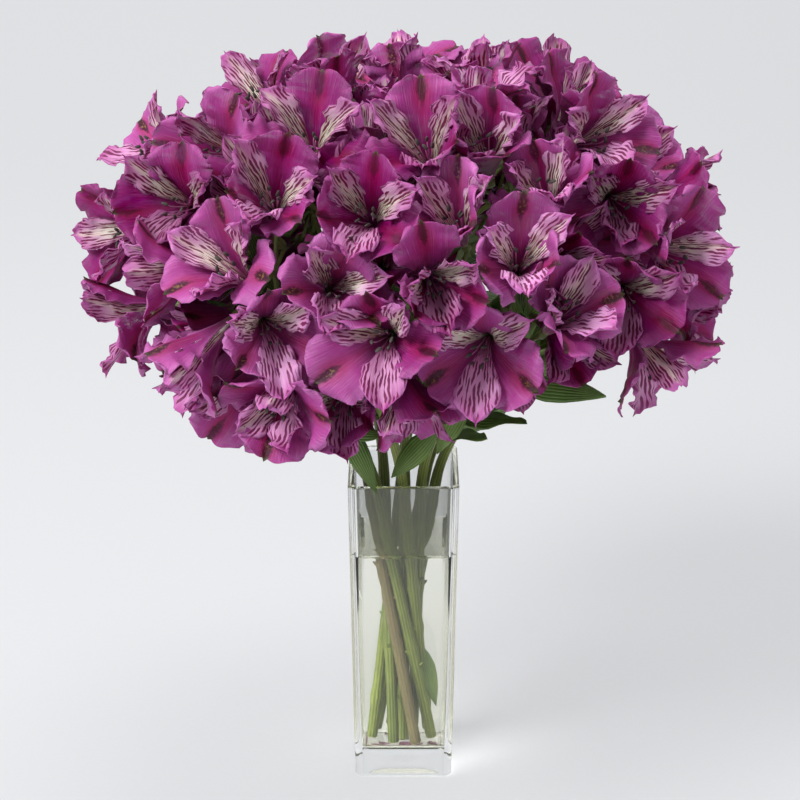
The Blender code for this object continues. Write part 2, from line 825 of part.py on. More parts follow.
def tepal_rib(bloom, index, opening):
    """The midrib's points and outward normals at even steps, its length and its sideways direction."""
    kind = TEPALS[index][0]
    length = (OUTER_LENGTH if kind == "outer" else INNER_LENGTH) * bloom.size
    away = bloom.away(FIRST_TEPAL_DEG + 60 * index)
    points = [bloom.base + away * BASE_RADIUS]
    normals = []
    for i in range(RIB_STEPS + 1):
        angle = rib_angle(kind, i / RIB_STEPS, opening)
        normals.append(away * math.cos(angle) - bloom.facing * math.sin(angle))
        if i < RIB_STEPS:
            angle = rib_angle(kind, (i + 0.5) / RIB_STEPS, opening)
            step = bloom.facing * math.cos(angle) + away * math.sin(angle)
            points.append(points[-1] + step * (length / RIB_STEPS))
    return points, normals, length, bloom.facing.cross(away)


def along(values, share):
    """A value between the even steps of a midrib."""
    place = share * RIB_STEPS
    i = min(int(place), RIB_STEPS - 1)
    return values[i].lerp(values[i + 1], place - i)


def cup_depth(kind, share, opening):
    """How far a tepal's edges curl in past its rib, as a share of its half width."""
    closed = max(0.0, (WIDEST_DEG - opening) / (WIDEST_DEG - CLOSED_DEG))
    return (0.16 + 0.30 * closed) if kind == "outer" else (0.30 + 0.40 * closed)


def tepal_rows(bloom, index, opening, swell=0.0):
    """The tepal's rows of four points (one edge, other edge, back of rib, front of rib) and its tip.

    An outer tepal's tip is blunt and has two points, and any other has one.
    """
    kind = TEPALS[index][0]
    points, normals, length, sideways = tepal_rib(bloom, index, opening)
    rows = []
    for share in OUTER_ROWS if kind == "outer" else INNER_ROWS:
        middle, normal = along(points, share), along(normals, share).normalized()
        half = half_width(kind, share) * length * bloom.slimness[index]
        cup = normal * (half * cup_depth(kind, share, opening))
        side = sideways * (half + swell)
        back = normal * (RIB_HALF_THICKNESS + swell)
        rows.append([middle - side - cup, middle + side - cup, middle + back, middle - back])
    tip = points[-1] + (points[-1] - points[-2]).normalized() * swell
    if kind != "outer":
        return rows, [tip]
    half = half_width(kind, 1.0) * length * bloom.slimness[index]
    tip -= normals[-1] * (half * cup_depth(kind, share, opening))
    side = sideways * (half + swell)
    return rows, [tip - side, tip + side]


def blade_faces(starts, tips):
    """The triangles of a blade between its rows of four points, and up to its tip's one or two points."""
    faces = []
    for rib in (2, 3):
        for low, high in zip(starts, starts[1:]):
            faces += [(low[0], low[rib], high[rib]), (low[0], high[rib], high[0])]
            faces += [(low[rib], low[1], high[rib]), (low[1], high[1], high[rib])]
        last = starts[-1]
        faces += [(last[0], last[rib], tips[0]), (last[rib], last[1], tips[-1])]
        if len(tips) > 1:
            faces.append((last[rib], tips[1], tips[0]))
    return faces


def petal_tree(bloom, index, opening, whole=True):
    """The swollen tepal as a tree of triangles, for overlap tests, whole or without its claw."""
    swell = TEST_CLEARANCE if whole else 0.0003
    rows, tip = tepal_rows(bloom, index, opening, swell)
    if whole:
        base = bloom.base + bloom.away(FIRST_TEPAL_DEG + 60 * index) * BASE_RADIUS
        rows = [[base] * 4, *rows]
    verts = [point for row in rows for point in row]
    starts = [[4 * i + k for k in range(4)] for i in range(len(rows))]
    tips = [len(verts) + k for k in range(len(tip))]
    return BVHTree.FromPolygons(verts + tip, blade_faces(starts, tips), all_triangles=True)


def bud_trees(bloom):
    """The trees of a bloom's six closed tepals and of its ovary."""
    tepals = [petal_tree(bloom, k, CLOSED_DEG) for k in range(len(TEPALS))]
    return [*tepals, Rod(bloom.foot, bloom.base, OVARY_RADIUS).tree()]


def crosses_own(bloom, index, opening):
    """Whether a tepal would cross its neighbours in the same bloom, their claws aside."""
    tree = petal_tree(bloom, index, opening, whole=False)
    for step in (1, 5):
        other = (index + step) % len(TEPALS)
        if tree.overlap(petal_tree(bloom, other, bloom.openings[other], whole=False)):
            return True
    return False


def slim_down(bloom):
    """Narrows the inner tepals of a closed bloom until they fit inside its outer ones."""
    for index, (kind, _) in enumerate(TEPALS):
        while kind != "outer" and crosses_own(bloom, index, bloom.openings[index]):
            bloom.slimness[index] -= 0.05
            if bloom.slimness[index] < NARROWEST:
                break


def open_blooms(blooms, rods, leaves, chance):
    """Opens every tepal a step at a time until it nears another or reaches its own width."""
    near, near_rods = [], []
    leaf_trees = [leaf.tree() for leaf in leaves]
    for bloom in blooms:
        slim_down(bloom)
        others = [i for i, o in enumerate(blooms) if o is not bloom]
        near.append([i for i in others if (blooms[i].base - bloom.base).length < 2.2 * OUTER_LENGTH])
        reach = INNER_LENGTH * bloom.size + 0.004
        near_rods.append([rod.tree() for _, rod in rods if rod.distance(bloom.base) < reach] + leaf_trees)
    trees = [bud_trees(bloom) for bloom in blooms]
    limits = []
    for _ in blooms:
        open_share = chance.uniform(LEAST_OPEN, 1.0)
        spread = chance.uniform(1 - TEPAL_SPREAD, 1 + TEPAL_SPREAD, len(TEPALS))
        limits.append([WIDEST_DEG * open_share * wide * extra for (_, wide), extra in zip(TEPALS, spread)])
    growing = [(i, k) for i in range(len(blooms)) for k in (1, 3, 5, 0, 2, 4)]
    while growing:
        still = []
        for i, k in growing:
            wider = blooms[i].openings[k] + OPENING_STEP_DEG
            if wider > limits[i][k]:
                continue
            tree = petal_tree(blooms[i], k, wider)
            blocked = any(tree.overlap(other) for j in near[i] for other in trees[j])
            blocked = blocked or any(tree.overlap(other) for other in near_rods[i])
            if not blocked and not crosses_own(blooms[i], k, wider):
                blooms[i].openings[k] = wider
                trees[i][k] = tree
                still.append((i, k))
        growing = still
    return trees


def bloom_mesh(bloom, stations):
    """One bloom as a single skin: pedicel, ovary and six tepals that share the ovary's rim.

    Each station of the pedicel is a point, a radius and a direction; the ovary follows the last.
    """
    verts, faces = [], []

    def ring(centre, radius, axis, count, first_degrees=0.0):
        """Points round an axis, level with the bloom's own directions."""
        side = (bloom.side - axis * bloom.side.dot(axis)).normalized()
        other = axis.cross(side)
        start = len(verts)
        for i in range(count):
            turn = math.radians(first_degrees + 360.0 * i / count)
            verts.append(centre + (side * math.cos(turn) + other * math.sin(turn)) * radius)
        return list(range(start, start + count))

    facing = bloom.facing
    rings = [ring(*station, PEDICEL_SIDES) for station in stations]
    rings.append(ring(bloom.foot, PEDICEL_RADIUS, facing, PEDICEL_SIDES))
    faces.append(rings[0][::-1])
    for low, high in zip(rings, rings[1:]):
        for i in range(PEDICEL_SIDES):
            j = (i + 1) % PEDICEL_SIDES
            faces.append((low[i], low[j], high[j], high[i]))
    belly = ring(bloom.base - facing * OVARY_LENGTH * 0.45, OVARY_RADIUS, facing, 6)
    corners = ring(bloom.base, BASE_RADIUS, facing, 6)
    backs = ring(bloom.base, BASE_RADIUS + RIB_HALF_THICKNESS, facing, 6, FIRST_TEPAL_DEG)
    fronts = ring(bloom.base, BASE_RADIUS - RIB_HALF_THICKNESS, facing, 6, FIRST_TEPAL_DEG)
    neck = rings[-1]
    under = [neck[0], neck[1], neck[1], neck[2], neck[3], neck[3], neck[0]]
    for i in range(6):
        j = (i + 1) % 6
        faces.append((under[i], belly[j], belly[i]))
        if under[i] != under[i + 1]:
            faces.append((under[i], under[i + 1], belly[j]))
        faces += [(belly[i], belly[j], backs[i]), (belly[i], backs[i], corners[i])]
        faces.append((belly[j], corners[j], backs[i]))
        rows, tip = tepal_rows(bloom, i, bloom.openings[i])
        starts = [[corners[i], corners[j], backs[i], fronts[i]]]
        for row in rows:
            starts.append([len(verts) + k for k in range(4)])
            verts.extend(row)
        tips = [len(verts) + k for k in range(len(tip))]
        verts.extend(tip)
        faces += blade_faces(starts, tips)
    faces.append([v for i in range(6) for v in (corners[i], fronts[i])])
    return mesh_from(verts, faces, "bloom")


# Leaves


class Leaf:
    """A lance-shaped leaf that leaves its stem, arches over and comes to a point."""

    def __init__(self, stem, height, length, turn, lift, droop, half):
        self.root, line = stem.at(height)
        self.length = length
        self.way = Vector((math.cos(turn), math.sin(turn), lift)).normalized()
        self.level = self.way.cross(line).normalized()
        self.normal = self.way.cross(self.level).normalized()
        self.droop = droop * length
        self.half = half

    def tip(self):
        """The leaf's point."""
        return self.root + self.way * self.length - UP * self.droop

    def shape(self, swell=0.0):
        """Points and triangles of the leaf, thick at its rib and sharp at its edge."""
        rows = []
        for share, width in ((0.10, 0.25), (0.42, 1.0), (0.74, 0.72)):
            middle = self.root + self.way * (self.length * share) - UP * (self.droop * share**2)
            side = self.level * (self.half * width + swell)
            fold = self.normal * (0.15 * self.half * width)
            thick = self.normal * (LEAF_HALF_THICKNESS + swell)
            rows.append([middle - side + fold, middle + side + fold, middle + thick, middle - thick])
        verts = [point for row in rows for point in row]
        starts = [[4 * i + k for k in range(4)] for i in range(len(rows))]
        verts += [self.tip(), self.root]
        tip, root = len(verts) - 2, len(verts) - 1
        faces = blade_faces(starts, [tip])
        for rib in (2, 3):
            faces += [(root, starts[0][rib], starts[0][0]), (root, starts[0][1], starts[0][rib])]
        return verts, faces

    def tree(self):
        """The swollen leaf as a tree of triangles, for overlap tests."""
        return BVHTree.FromPolygons(*self.shape(TEST_CLEARANCE), all_triangles=True)


def place_photo_leaves(stems):
    """Gives the leaves that the picture shows to the stems nearest to their roots."""
    for root_x, root_y, tip_x, tip_y, half in PHOTO_LEAVES:
        eye, line = pixel_line(root_x, root_y)
        found = []
        for stem in stems:
            for i in range(11):
                height = PHOTO_LEAF_LOWEST + (stem.head.z - PHOTO_LEAF_LOWEST) * i / 11
                offset = stem.at(height)[0] - eye
                found.append(((offset - line * offset.dot(line)).length, stem.name, height, stem))
        _, _, height, stem = min(found, key=lambda spot: spot[:3])
        root = stem.at(height)[0]
        eye, line = pixel_line(tip_x, tip_y)
        tip = eye + line * ((root.y - PHOTO_LEAF_FORWARD - eye.y) / line.y)
        length = (tip - root).length
        aim = tip + UP * (PHOTO_LEAF_DROOP * length) - root
        turn, lift = math.atan2(aim.y, aim.x), aim.z / math.hypot(aim.x, aim.y)
        stem.leaves.append(Leaf(stem, height, length, turn, lift, PHOTO_LEAF_DROOP, half))


def leaves_of(stem, obstacles, chance):
    """The stem's leaves, each at the first turn of a few where it is clear of everything else.

    The low ones spread above the vase's rim, and the high ones stand among the rays.
    """
    leaves = list(stem.leaves)
    highest = stem.head.z - LEAF_HIGHEST_BELOW_HEAD
    count = LOW_LEAVES + HIGH_LEAVES
    for i in range(count):
        high = i >= LOW_LEAVES
        height = LEAF_LOWEST + (highest - LEAF_LOWEST) * (i / (count - 1)) ** 0.8
        for _ in range(LEAF_TRIES):
            leaf = Leaf(
                stem,
                height,
                LEAF_LENGTH * chance.uniform(0.75, 1.1),
                turn=chance.uniform(0, 2 * math.pi),
                lift=chance.uniform(0.4, 1.8) if high else chance.uniform(0.1, 1.0),
                droop=chance.uniform(0.0, 0.25),
                half=LEAF_HALF_WIDTH * chance.uniform(0.85, 1.2),
            )
            tree = leaf.tree()
            hangs_low = leaf.tip().z < LEAF_TIP_LOWEST
            if not hangs_low and not any(tree.overlap(other) for other in obstacles):
                obstacles.append(tree)
                leaves.append(leaf)
                break
    return leaves


def make_stem_nodes(stems, petal_trees, rods, chance):
    """Each stem with its leaves, the knob that its rays start from and the rays."""
    obstacles = [(None, tree) for trees in petal_trees for tree in trees]
    obstacles += [(owner, rod.tree()) for owner, rod in rods]
    obstacles += [(None, leaf.tree()) for stem in stems for leaf in stem.leaves]
    for stem in stems:
        others = [tree for owner, tree in obstacles if owner is not stem]
        shown = len(stem.leaves)
        stem.leaves = leaves_of(stem, others, chance)
        obstacles += [(None, leaf.tree()) for leaf in stem.leaves[shown:]]
        bm = bmesh.new()
        place = Matrix.Translation(stem.head)
        bmesh.ops.create_icosphere(bm, subdivisions=1, radius=KNOB_RADIUS, matrix=place)
        meshes = [tube(stem.name, stem.path, stem.radii, 8), mesh_of(bm, "knob")]
        for cyme in stem.cymes:
            meshes.append(tube("ray", [cyme.ray.start, cyme.ray.end], [RAY_RADIUS] * 2, 6))
        meshes += [mesh_from(*leaf.shape(), "leaf") for leaf in stem.leaves]
        finished(stem.name, combined(stem.name, meshes), GREEN)


def main():
    """Builds the vase, the water, the stems and the blooms."""
    clear_scene()
    chance = np.random.default_rng(SEED)
    stems = make_stems(chance)
    blooms = place_blooms(chance)
    share_out(blooms, stems)
    place_photo_leaves(stems)
    cymes, rods = make_cymes(stems, blooms)
    shown = [leaf for stem in stems for leaf in stem.leaves]
    petal_trees = open_blooms(blooms, rods, shown, chance)
    make_vase()
    make_water(stems)
    make_stem_nodes(stems, petal_trees, rods, chance)
    for cyme in cymes:
        cyme.build()


main()
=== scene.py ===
"""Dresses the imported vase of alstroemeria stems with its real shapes, colours and light.

Metres, +Z up, -Y towards the camera. The first half repeats how the source places the stems and the
blooms, with the same seed and the same order of draws, so that every fine petal follows its solid.
The second half builds the fine pieces, their finishes and the studio.
"""

import logging
import math
from collections.abc import Sequence
from dataclasses import dataclass, field, replace
from enum import Enum
from itertools import combinations, product

import bmesh
import bpy
import numpy as np
from mathutils import Matrix, Vector
from mathutils.bvhtree import BVHTree


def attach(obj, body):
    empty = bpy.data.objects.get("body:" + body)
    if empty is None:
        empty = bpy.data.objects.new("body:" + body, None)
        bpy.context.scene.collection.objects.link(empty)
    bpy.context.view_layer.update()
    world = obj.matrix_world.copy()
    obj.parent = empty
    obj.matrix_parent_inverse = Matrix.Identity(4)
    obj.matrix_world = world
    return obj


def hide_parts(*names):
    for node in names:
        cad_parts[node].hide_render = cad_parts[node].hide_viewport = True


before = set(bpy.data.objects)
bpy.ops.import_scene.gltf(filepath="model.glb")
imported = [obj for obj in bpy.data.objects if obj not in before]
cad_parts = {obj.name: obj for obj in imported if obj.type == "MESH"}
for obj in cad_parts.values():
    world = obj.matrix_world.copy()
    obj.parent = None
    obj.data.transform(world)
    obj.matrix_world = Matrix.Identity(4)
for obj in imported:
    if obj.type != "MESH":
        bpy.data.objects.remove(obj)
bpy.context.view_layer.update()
LOG = logging.getLogger("bouquet")
UP = Vector((0.0, 0.0, 1.0))
SEED = 20
DRESS_SEED = 7

# A curve or an outline as places along it, each with its value, and the two ends of a range
Marks = tuple[tuple[float, float], ...]
Range = tuple[float, float]


class Kind(Enum):
    """The three sorts of tepal in a bloom."""

    OUTER = "outer"
    INNER = "inner"
    LOWER = "lower"


TEPALS = (
    (Kind.INNER, 0.74),
    (Kind.OUTER, 0.90),
    (Kind.INNER, 0.74),
    (Kind.OUTER, 1.00),
    (Kind.LOWER, 0.84),
    (Kind.OUTER, 1.00),
)

# Each front bloom: the pixel of its throat, how far it leans right and up, and its roll in degrees
FRONT_BLOOMS = (
    (178, 210, -0.70, 0.35, 0),
    (178, 264, -0.75, -0.10, 10),
    (138, 312, -0.70, -0.35, 0),
    (205, 345, -0.45, -0.70, 15),
    (222, 152, -0.40, 0.25, -10),
    (262, 100, -0.25, 0.55, 0),
    (272, 200, -0.15, 0.15, 8),
    (310, 140, -0.10, 0.45, 0),
    (368, 215, 0.10, 0.30, -8),
    (335, 288, -0.05, 0.00, 0),
    (232, 268, -0.40, 0.00, 12),
    (284, 398, -0.20, -0.30, 23),
    (388, 330, 0.00, -0.20, 10),
    (345, 400, -0.10, -0.45, 0),
    (402, 392, 0.10, -0.75, 0),
    (482, 345, 0.05, -0.10, 27),
    (520, 262, 0.05, 0.20, -8),
    (562, 315, 0.15, 0.15, 0),
    (630, 296, 0.45, 0.10, -15),
    (592, 138, 0.55, 0.35, -20),
    (545, 195, 0.10, 0.20, 0),
    (425, 150, 0.00, 0.35, 10),
    (338, 92, -0.10, 0.75, 0),
    (402, 88, 0.00, 0.80, 0),
    (476, 94, 0.05, 0.70, 0),
    (556, 92, 0.25, 0.70, 0),
    (622, 208, 0.50, 0.20, 0),
    (662, 250, 0.70, 0.00, 0),
    (652, 345, 0.30, -0.60, -20),
    (455, 228, 0.00, 0.20, 0),
    (485, 155, 0.05, 0.40, 0),
    (628, 162, 0.55, 0.15, -10),
    (676, 308, 0.70, -0.20, 0),
    (430, 285, 0.10, 0.05, -10),
    (250, 388, -0.20, -0.45, 0),
    (268, 328, -0.10, -0.10, 0),
)

# Leaves that the picture shows: the pixel of the root, the pixel of the tip, and the half width
PHOTO_LEAVES = (
    (500, 388, 606, 396, 0.0105),
    (505, 372, 603, 350, 0.0095),
    (335, 425, 373, 486, 0.0080),
    (432, 428, 395, 474, 0.0085),
    (470, 400, 440, 448, 0.0085),
)
# The leaf in the water, which the coarse solids leave out
SUNK_LEAF = (424, 628, 434, 692, 0.0065)
# Leaves that peep out between the blooms, left out of the solids too
DEEP_LEAVES = (
    (488, 352, 498, 288, 0.0105),
    (262, 215, 198, 126, 0.0075),
    (258, 262, 194, 238, 0.0075),
)


def profile(marks: Marks, share: float) -> float:
    """Reads a value off straight lines between marks."""
    return float(np.interp(share, [m[0] for m in marks], [m[1] for m in marks]))


def smooth(low: float, high: float, value: float) -> float:
    """Rises softly from 0 at low to 1 at high."""
    share = max(0.0, min(1.0, (value - low) / (high - low)))
    return share * share * (3.0 - 2.0 * share)


# Places of the stems and the blooms, as in the source


@dataclass(frozen=True)
class PhotoView:
    """The camera that the photograph was taken with."""

    elevation: float = math.radians(21.8)
    distance: float = 1.5
    target: tuple[float, float, float] = (-0.0024, 0.0, 0.278)
    focal: float = 2184.0
    middle: float = 400.0
    sensor: float = 36.0

    def axes(self) -> tuple[Vector, Vector, Vector]:
        """Gives right, up in the picture and towards the eye.

        Returns:
            The three directions, in that order.
        """
        right = Vector((1, 0, 0))
        up = Vector((0, math.sin(self.elevation), math.cos(self.elevation)))
        towards = Vector((0, -math.cos(self.elevation), math.sin(self.elevation)))
        return right, up, towards

    def line(self, pixel_x: float, pixel_y: float) -> tuple[Vector, Vector]:
        """Gives the eye and the direction of the line through a pixel.

        Args:
            pixel_x: The pixel's place from the left.
            pixel_y: Its place from the top.

        Returns:
            The eye's place, and the direction.
        """
        right, up, towards = self.axes()
        eye = Vector(self.target) + towards * self.distance
        across = right * (pixel_x - self.middle) + up * (self.middle - pixel_y)
        return eye, (across - towards * self.focal).normalized()


@dataclass(frozen=True)
class Dome:
    """The dome on which the throats of the blooms lie: a little boxier than an ellipsoid."""

    centre: tuple[float, float, float] = (0.0, 0.004, 0.386)
    size: tuple[float, float, float] = (0.176, 0.158, 0.101)
    squareness: float = 2.4
    lowest: float = 0.300
    right_rise: float = 0.060
    front_spacing: float = 0.0435
    back_spacing: float = 0.0520
    lattice: int = 230
    deepest: float = 0.86
    farthest: float = 1.07
    search_reach: float = 0.35
    search_step: float = 0.0004
    relax_steps: int = 40

    def reach(self, point: Vector) -> float:
        """Gives how far out a point is: 1 on the dome.

        Args:
            point: A place in the scene.

        Returns:
            Less than 1 inside the dome, and more outside.
        """
        offset = point - Vector(self.centre)
        total = sum(abs(a / b) ** self.squareness for a, b in zip(offset, self.size))
        return total ** (1 / self.squareness)

    def onto(self, point: Vector, depth: float = 1.0) -> Vector:
        """Gives the point of the dome in the direction of this one, times a depth."""
        offset = point - Vector(self.centre)
        return Vector(self.centre) + offset * (depth / self.reach(point))

    def normal(self, point: Vector) -> Vector:
        """Gives the dome's outward direction at a point.

        Args:
            point: A place on or near the dome.

        Returns:
            The direction, one long.
        """
        slopes = []
        for offset, size in zip(point - Vector(self.centre), self.size):
            slopes.append(math.copysign(abs(offset / size) ** (self.squareness - 1), offset) / size)
        return Vector(slopes).normalized()

    def seen_at(self, view: PhotoView, pixel_x: float, pixel_y: float, depth: float) -> Vector:
        """Gives the first point at this depth of the dome on a pixel's line, or the line's deepest point.

        Args:
            view: The camera.
            pixel_x: The pixel's place from the left.
            pixel_y: Its place from the top.
            depth: The share of the dome's size at which to stop.

        Returns:
            The point.
        """
        eye, line = view.line(pixel_x, pixel_y)
        way = view.distance - self.search_reach
        best = eye + line * way
        while way < view.distance + self.search_reach and self.reach(best) > depth:
            way += self.search_step
            spot = eye + line * way
            if self.reach(spot) < self.reach(best):
                best = spot
        return best

    def spacing(self, point: Vector) -> float:
        """Gives how far apart the blooms stand at a point: closer at the front than at the back."""
        share = 0.5 + 0.5 * (point.y - self.centre[1]) / self.size[1]
        return self.front_spacing + (self.back_spacing - self.front_spacing) * max(0.0, min(1.0, share))

    def spread(self) -> list[Vector]:
        """Gives points spread evenly over the dome, above its open underside.

        Returns:
            The points, from the top down.
        """
        golden = math.pi * (3 - math.sqrt(5))
        found = []
        for i in range(self.lattice):
            height = 1 - 2 * (i + 0.5) / self.lattice
            ring = math.sqrt(1 - height * height)
            way = (ring * math.cos(golden * i), ring * math.sin(golden * i), height)
            point = self.onto(Vector(self.centre) + Vector(a * b for a, b in zip(way, self.size)))
            if point.z >= self.lowest + self.right_rise * max(0.0, point.x) / self.size[0]:
                found.append(point)
        return found


@dataclass(frozen=True)
class VaseSizes:
    """The three inch square glass, nine inches tall, and its water."""

    height: float = 0.2286
    rim_half: float = 0.0381
    foot_half: float = 0.0346
    corner: float = 0.0045
    rim_wall: float = 0.0042
    foot_wall: float = 0.0055
    floor: float = 0.022
    lip: float = 0.0010
    cavity_rounding: float = 0.0025
    dimple_radius: float = 0.0107
    dimple_depth: float = 0.0055
    water_level: float = 0.173

    def outer_half(self, height: float) -> float:
        """Gives half the width of the vase at a height."""
        return self.foot_half + height / self.height * (self.rim_half - self.foot_half)

    def inner_half(self, height: float) -> float:
        """Gives half the width of the cavity at a height."""
        share = (height - self.floor) / (self.height - self.floor)
        return self.outer_half(height) - self.foot_wall - share * (self.rim_wall - self.foot_wall)


@dataclass(eq=False)
class Rod:
    """A straight round piece of a stem, a ray or a pedicel."""

    start: Vector
    end: Vector
    radius: float
    gap: float = 0.0005
    clearance: float = 0.0007
    probes: int = 16
    sides: int = 6

    def distance(self, point: Vector) -> float:
        """Gives the distance from a point to the rod's middle line.

        Args:
            point: A place in the scene.

        Returns:
            The distance in metres.
        """
        line = self.end - self.start
        share = max(0.0, min(1.0, (point - self.start).dot(line) / line.length_squared))
        return (self.start + line * share - point).length

    def touches(self, other: "Rod") -> bool:
        """Says whether another rod comes too near.

        Args:
            other: The other rod.

        Returns:
            True where their skins are nearer than the gap.
        """
        spots = [self.start.lerp(self.end, i / self.probes) for i in range(self.probes + 1)]
        nearest = min(other.distance(spot) for spot in spots)
        return nearest < self.radius + other.radius + self.gap

    def tree(self) -> BVHTree:
        """Gives the swollen rod's flat sides for overlap tests.

        Returns:
            The tree of its triangles.
        """
        line = (self.end - self.start).normalized()
        side = line.orthogonal().normalized() * (self.radius + self.clearance)
        other = line.cross(side)
        verts, faces = [], []
        for i in range(self.sides):
            turn = math.radians(360 / self.sides * i)
            way = side * math.cos(turn) + other * math.sin(turn)
            low, high = 2 * i, 2 * ((i + 1) % self.sides)
            verts += [self.start + way, self.end + way]
            faces += [(low, high, high + 1), (low, high + 1, low + 1)]
        return BVHTree.FromPolygons(verts, faces, all_triangles=True)


@dataclass(eq=False)
class Bloom:
    """One bloom: its throat, the way that it faces, and how wide each tepal opens."""

    throat: Vector
    facing: Vector
    depth: float
    size: float
    roll: float
    openings: list[float] = field(default_factory=lambda: [26.0] * len(TEPALS))
    slimness: list[float] = field(default_factory=lambda: [1.0] * len(TEPALS))
    throat_depth: float = 0.024
    ovary_length: float = 0.0085
    ovary_radius: float = 0.0033
    least_top: float = 0.05

    def settle(self) -> None:
        """Fixes the base and the axes once the throat is in place."""
        self.base = self.throat - self.facing * (self.throat_depth * self.size)
        self.foot = self.base - self.facing * self.ovary_length
        top = UP - self.facing * self.facing.z
        if top.length < self.least_top:
            top = Vector((0, 1, 0)) - self.facing * self.facing.y
        top.normalize()
        top.rotate(Matrix.Rotation(math.radians(self.roll), 3, self.facing))
        self.up = top
        self.side = top.cross(self.facing)

    def away(self, degrees: float) -> Vector:
        """Gives the direction off the bloom's axis at a turn round it."""
        turn = math.radians(degrees)
        return self.side * math.cos(turn) + self.up * math.sin(turn)


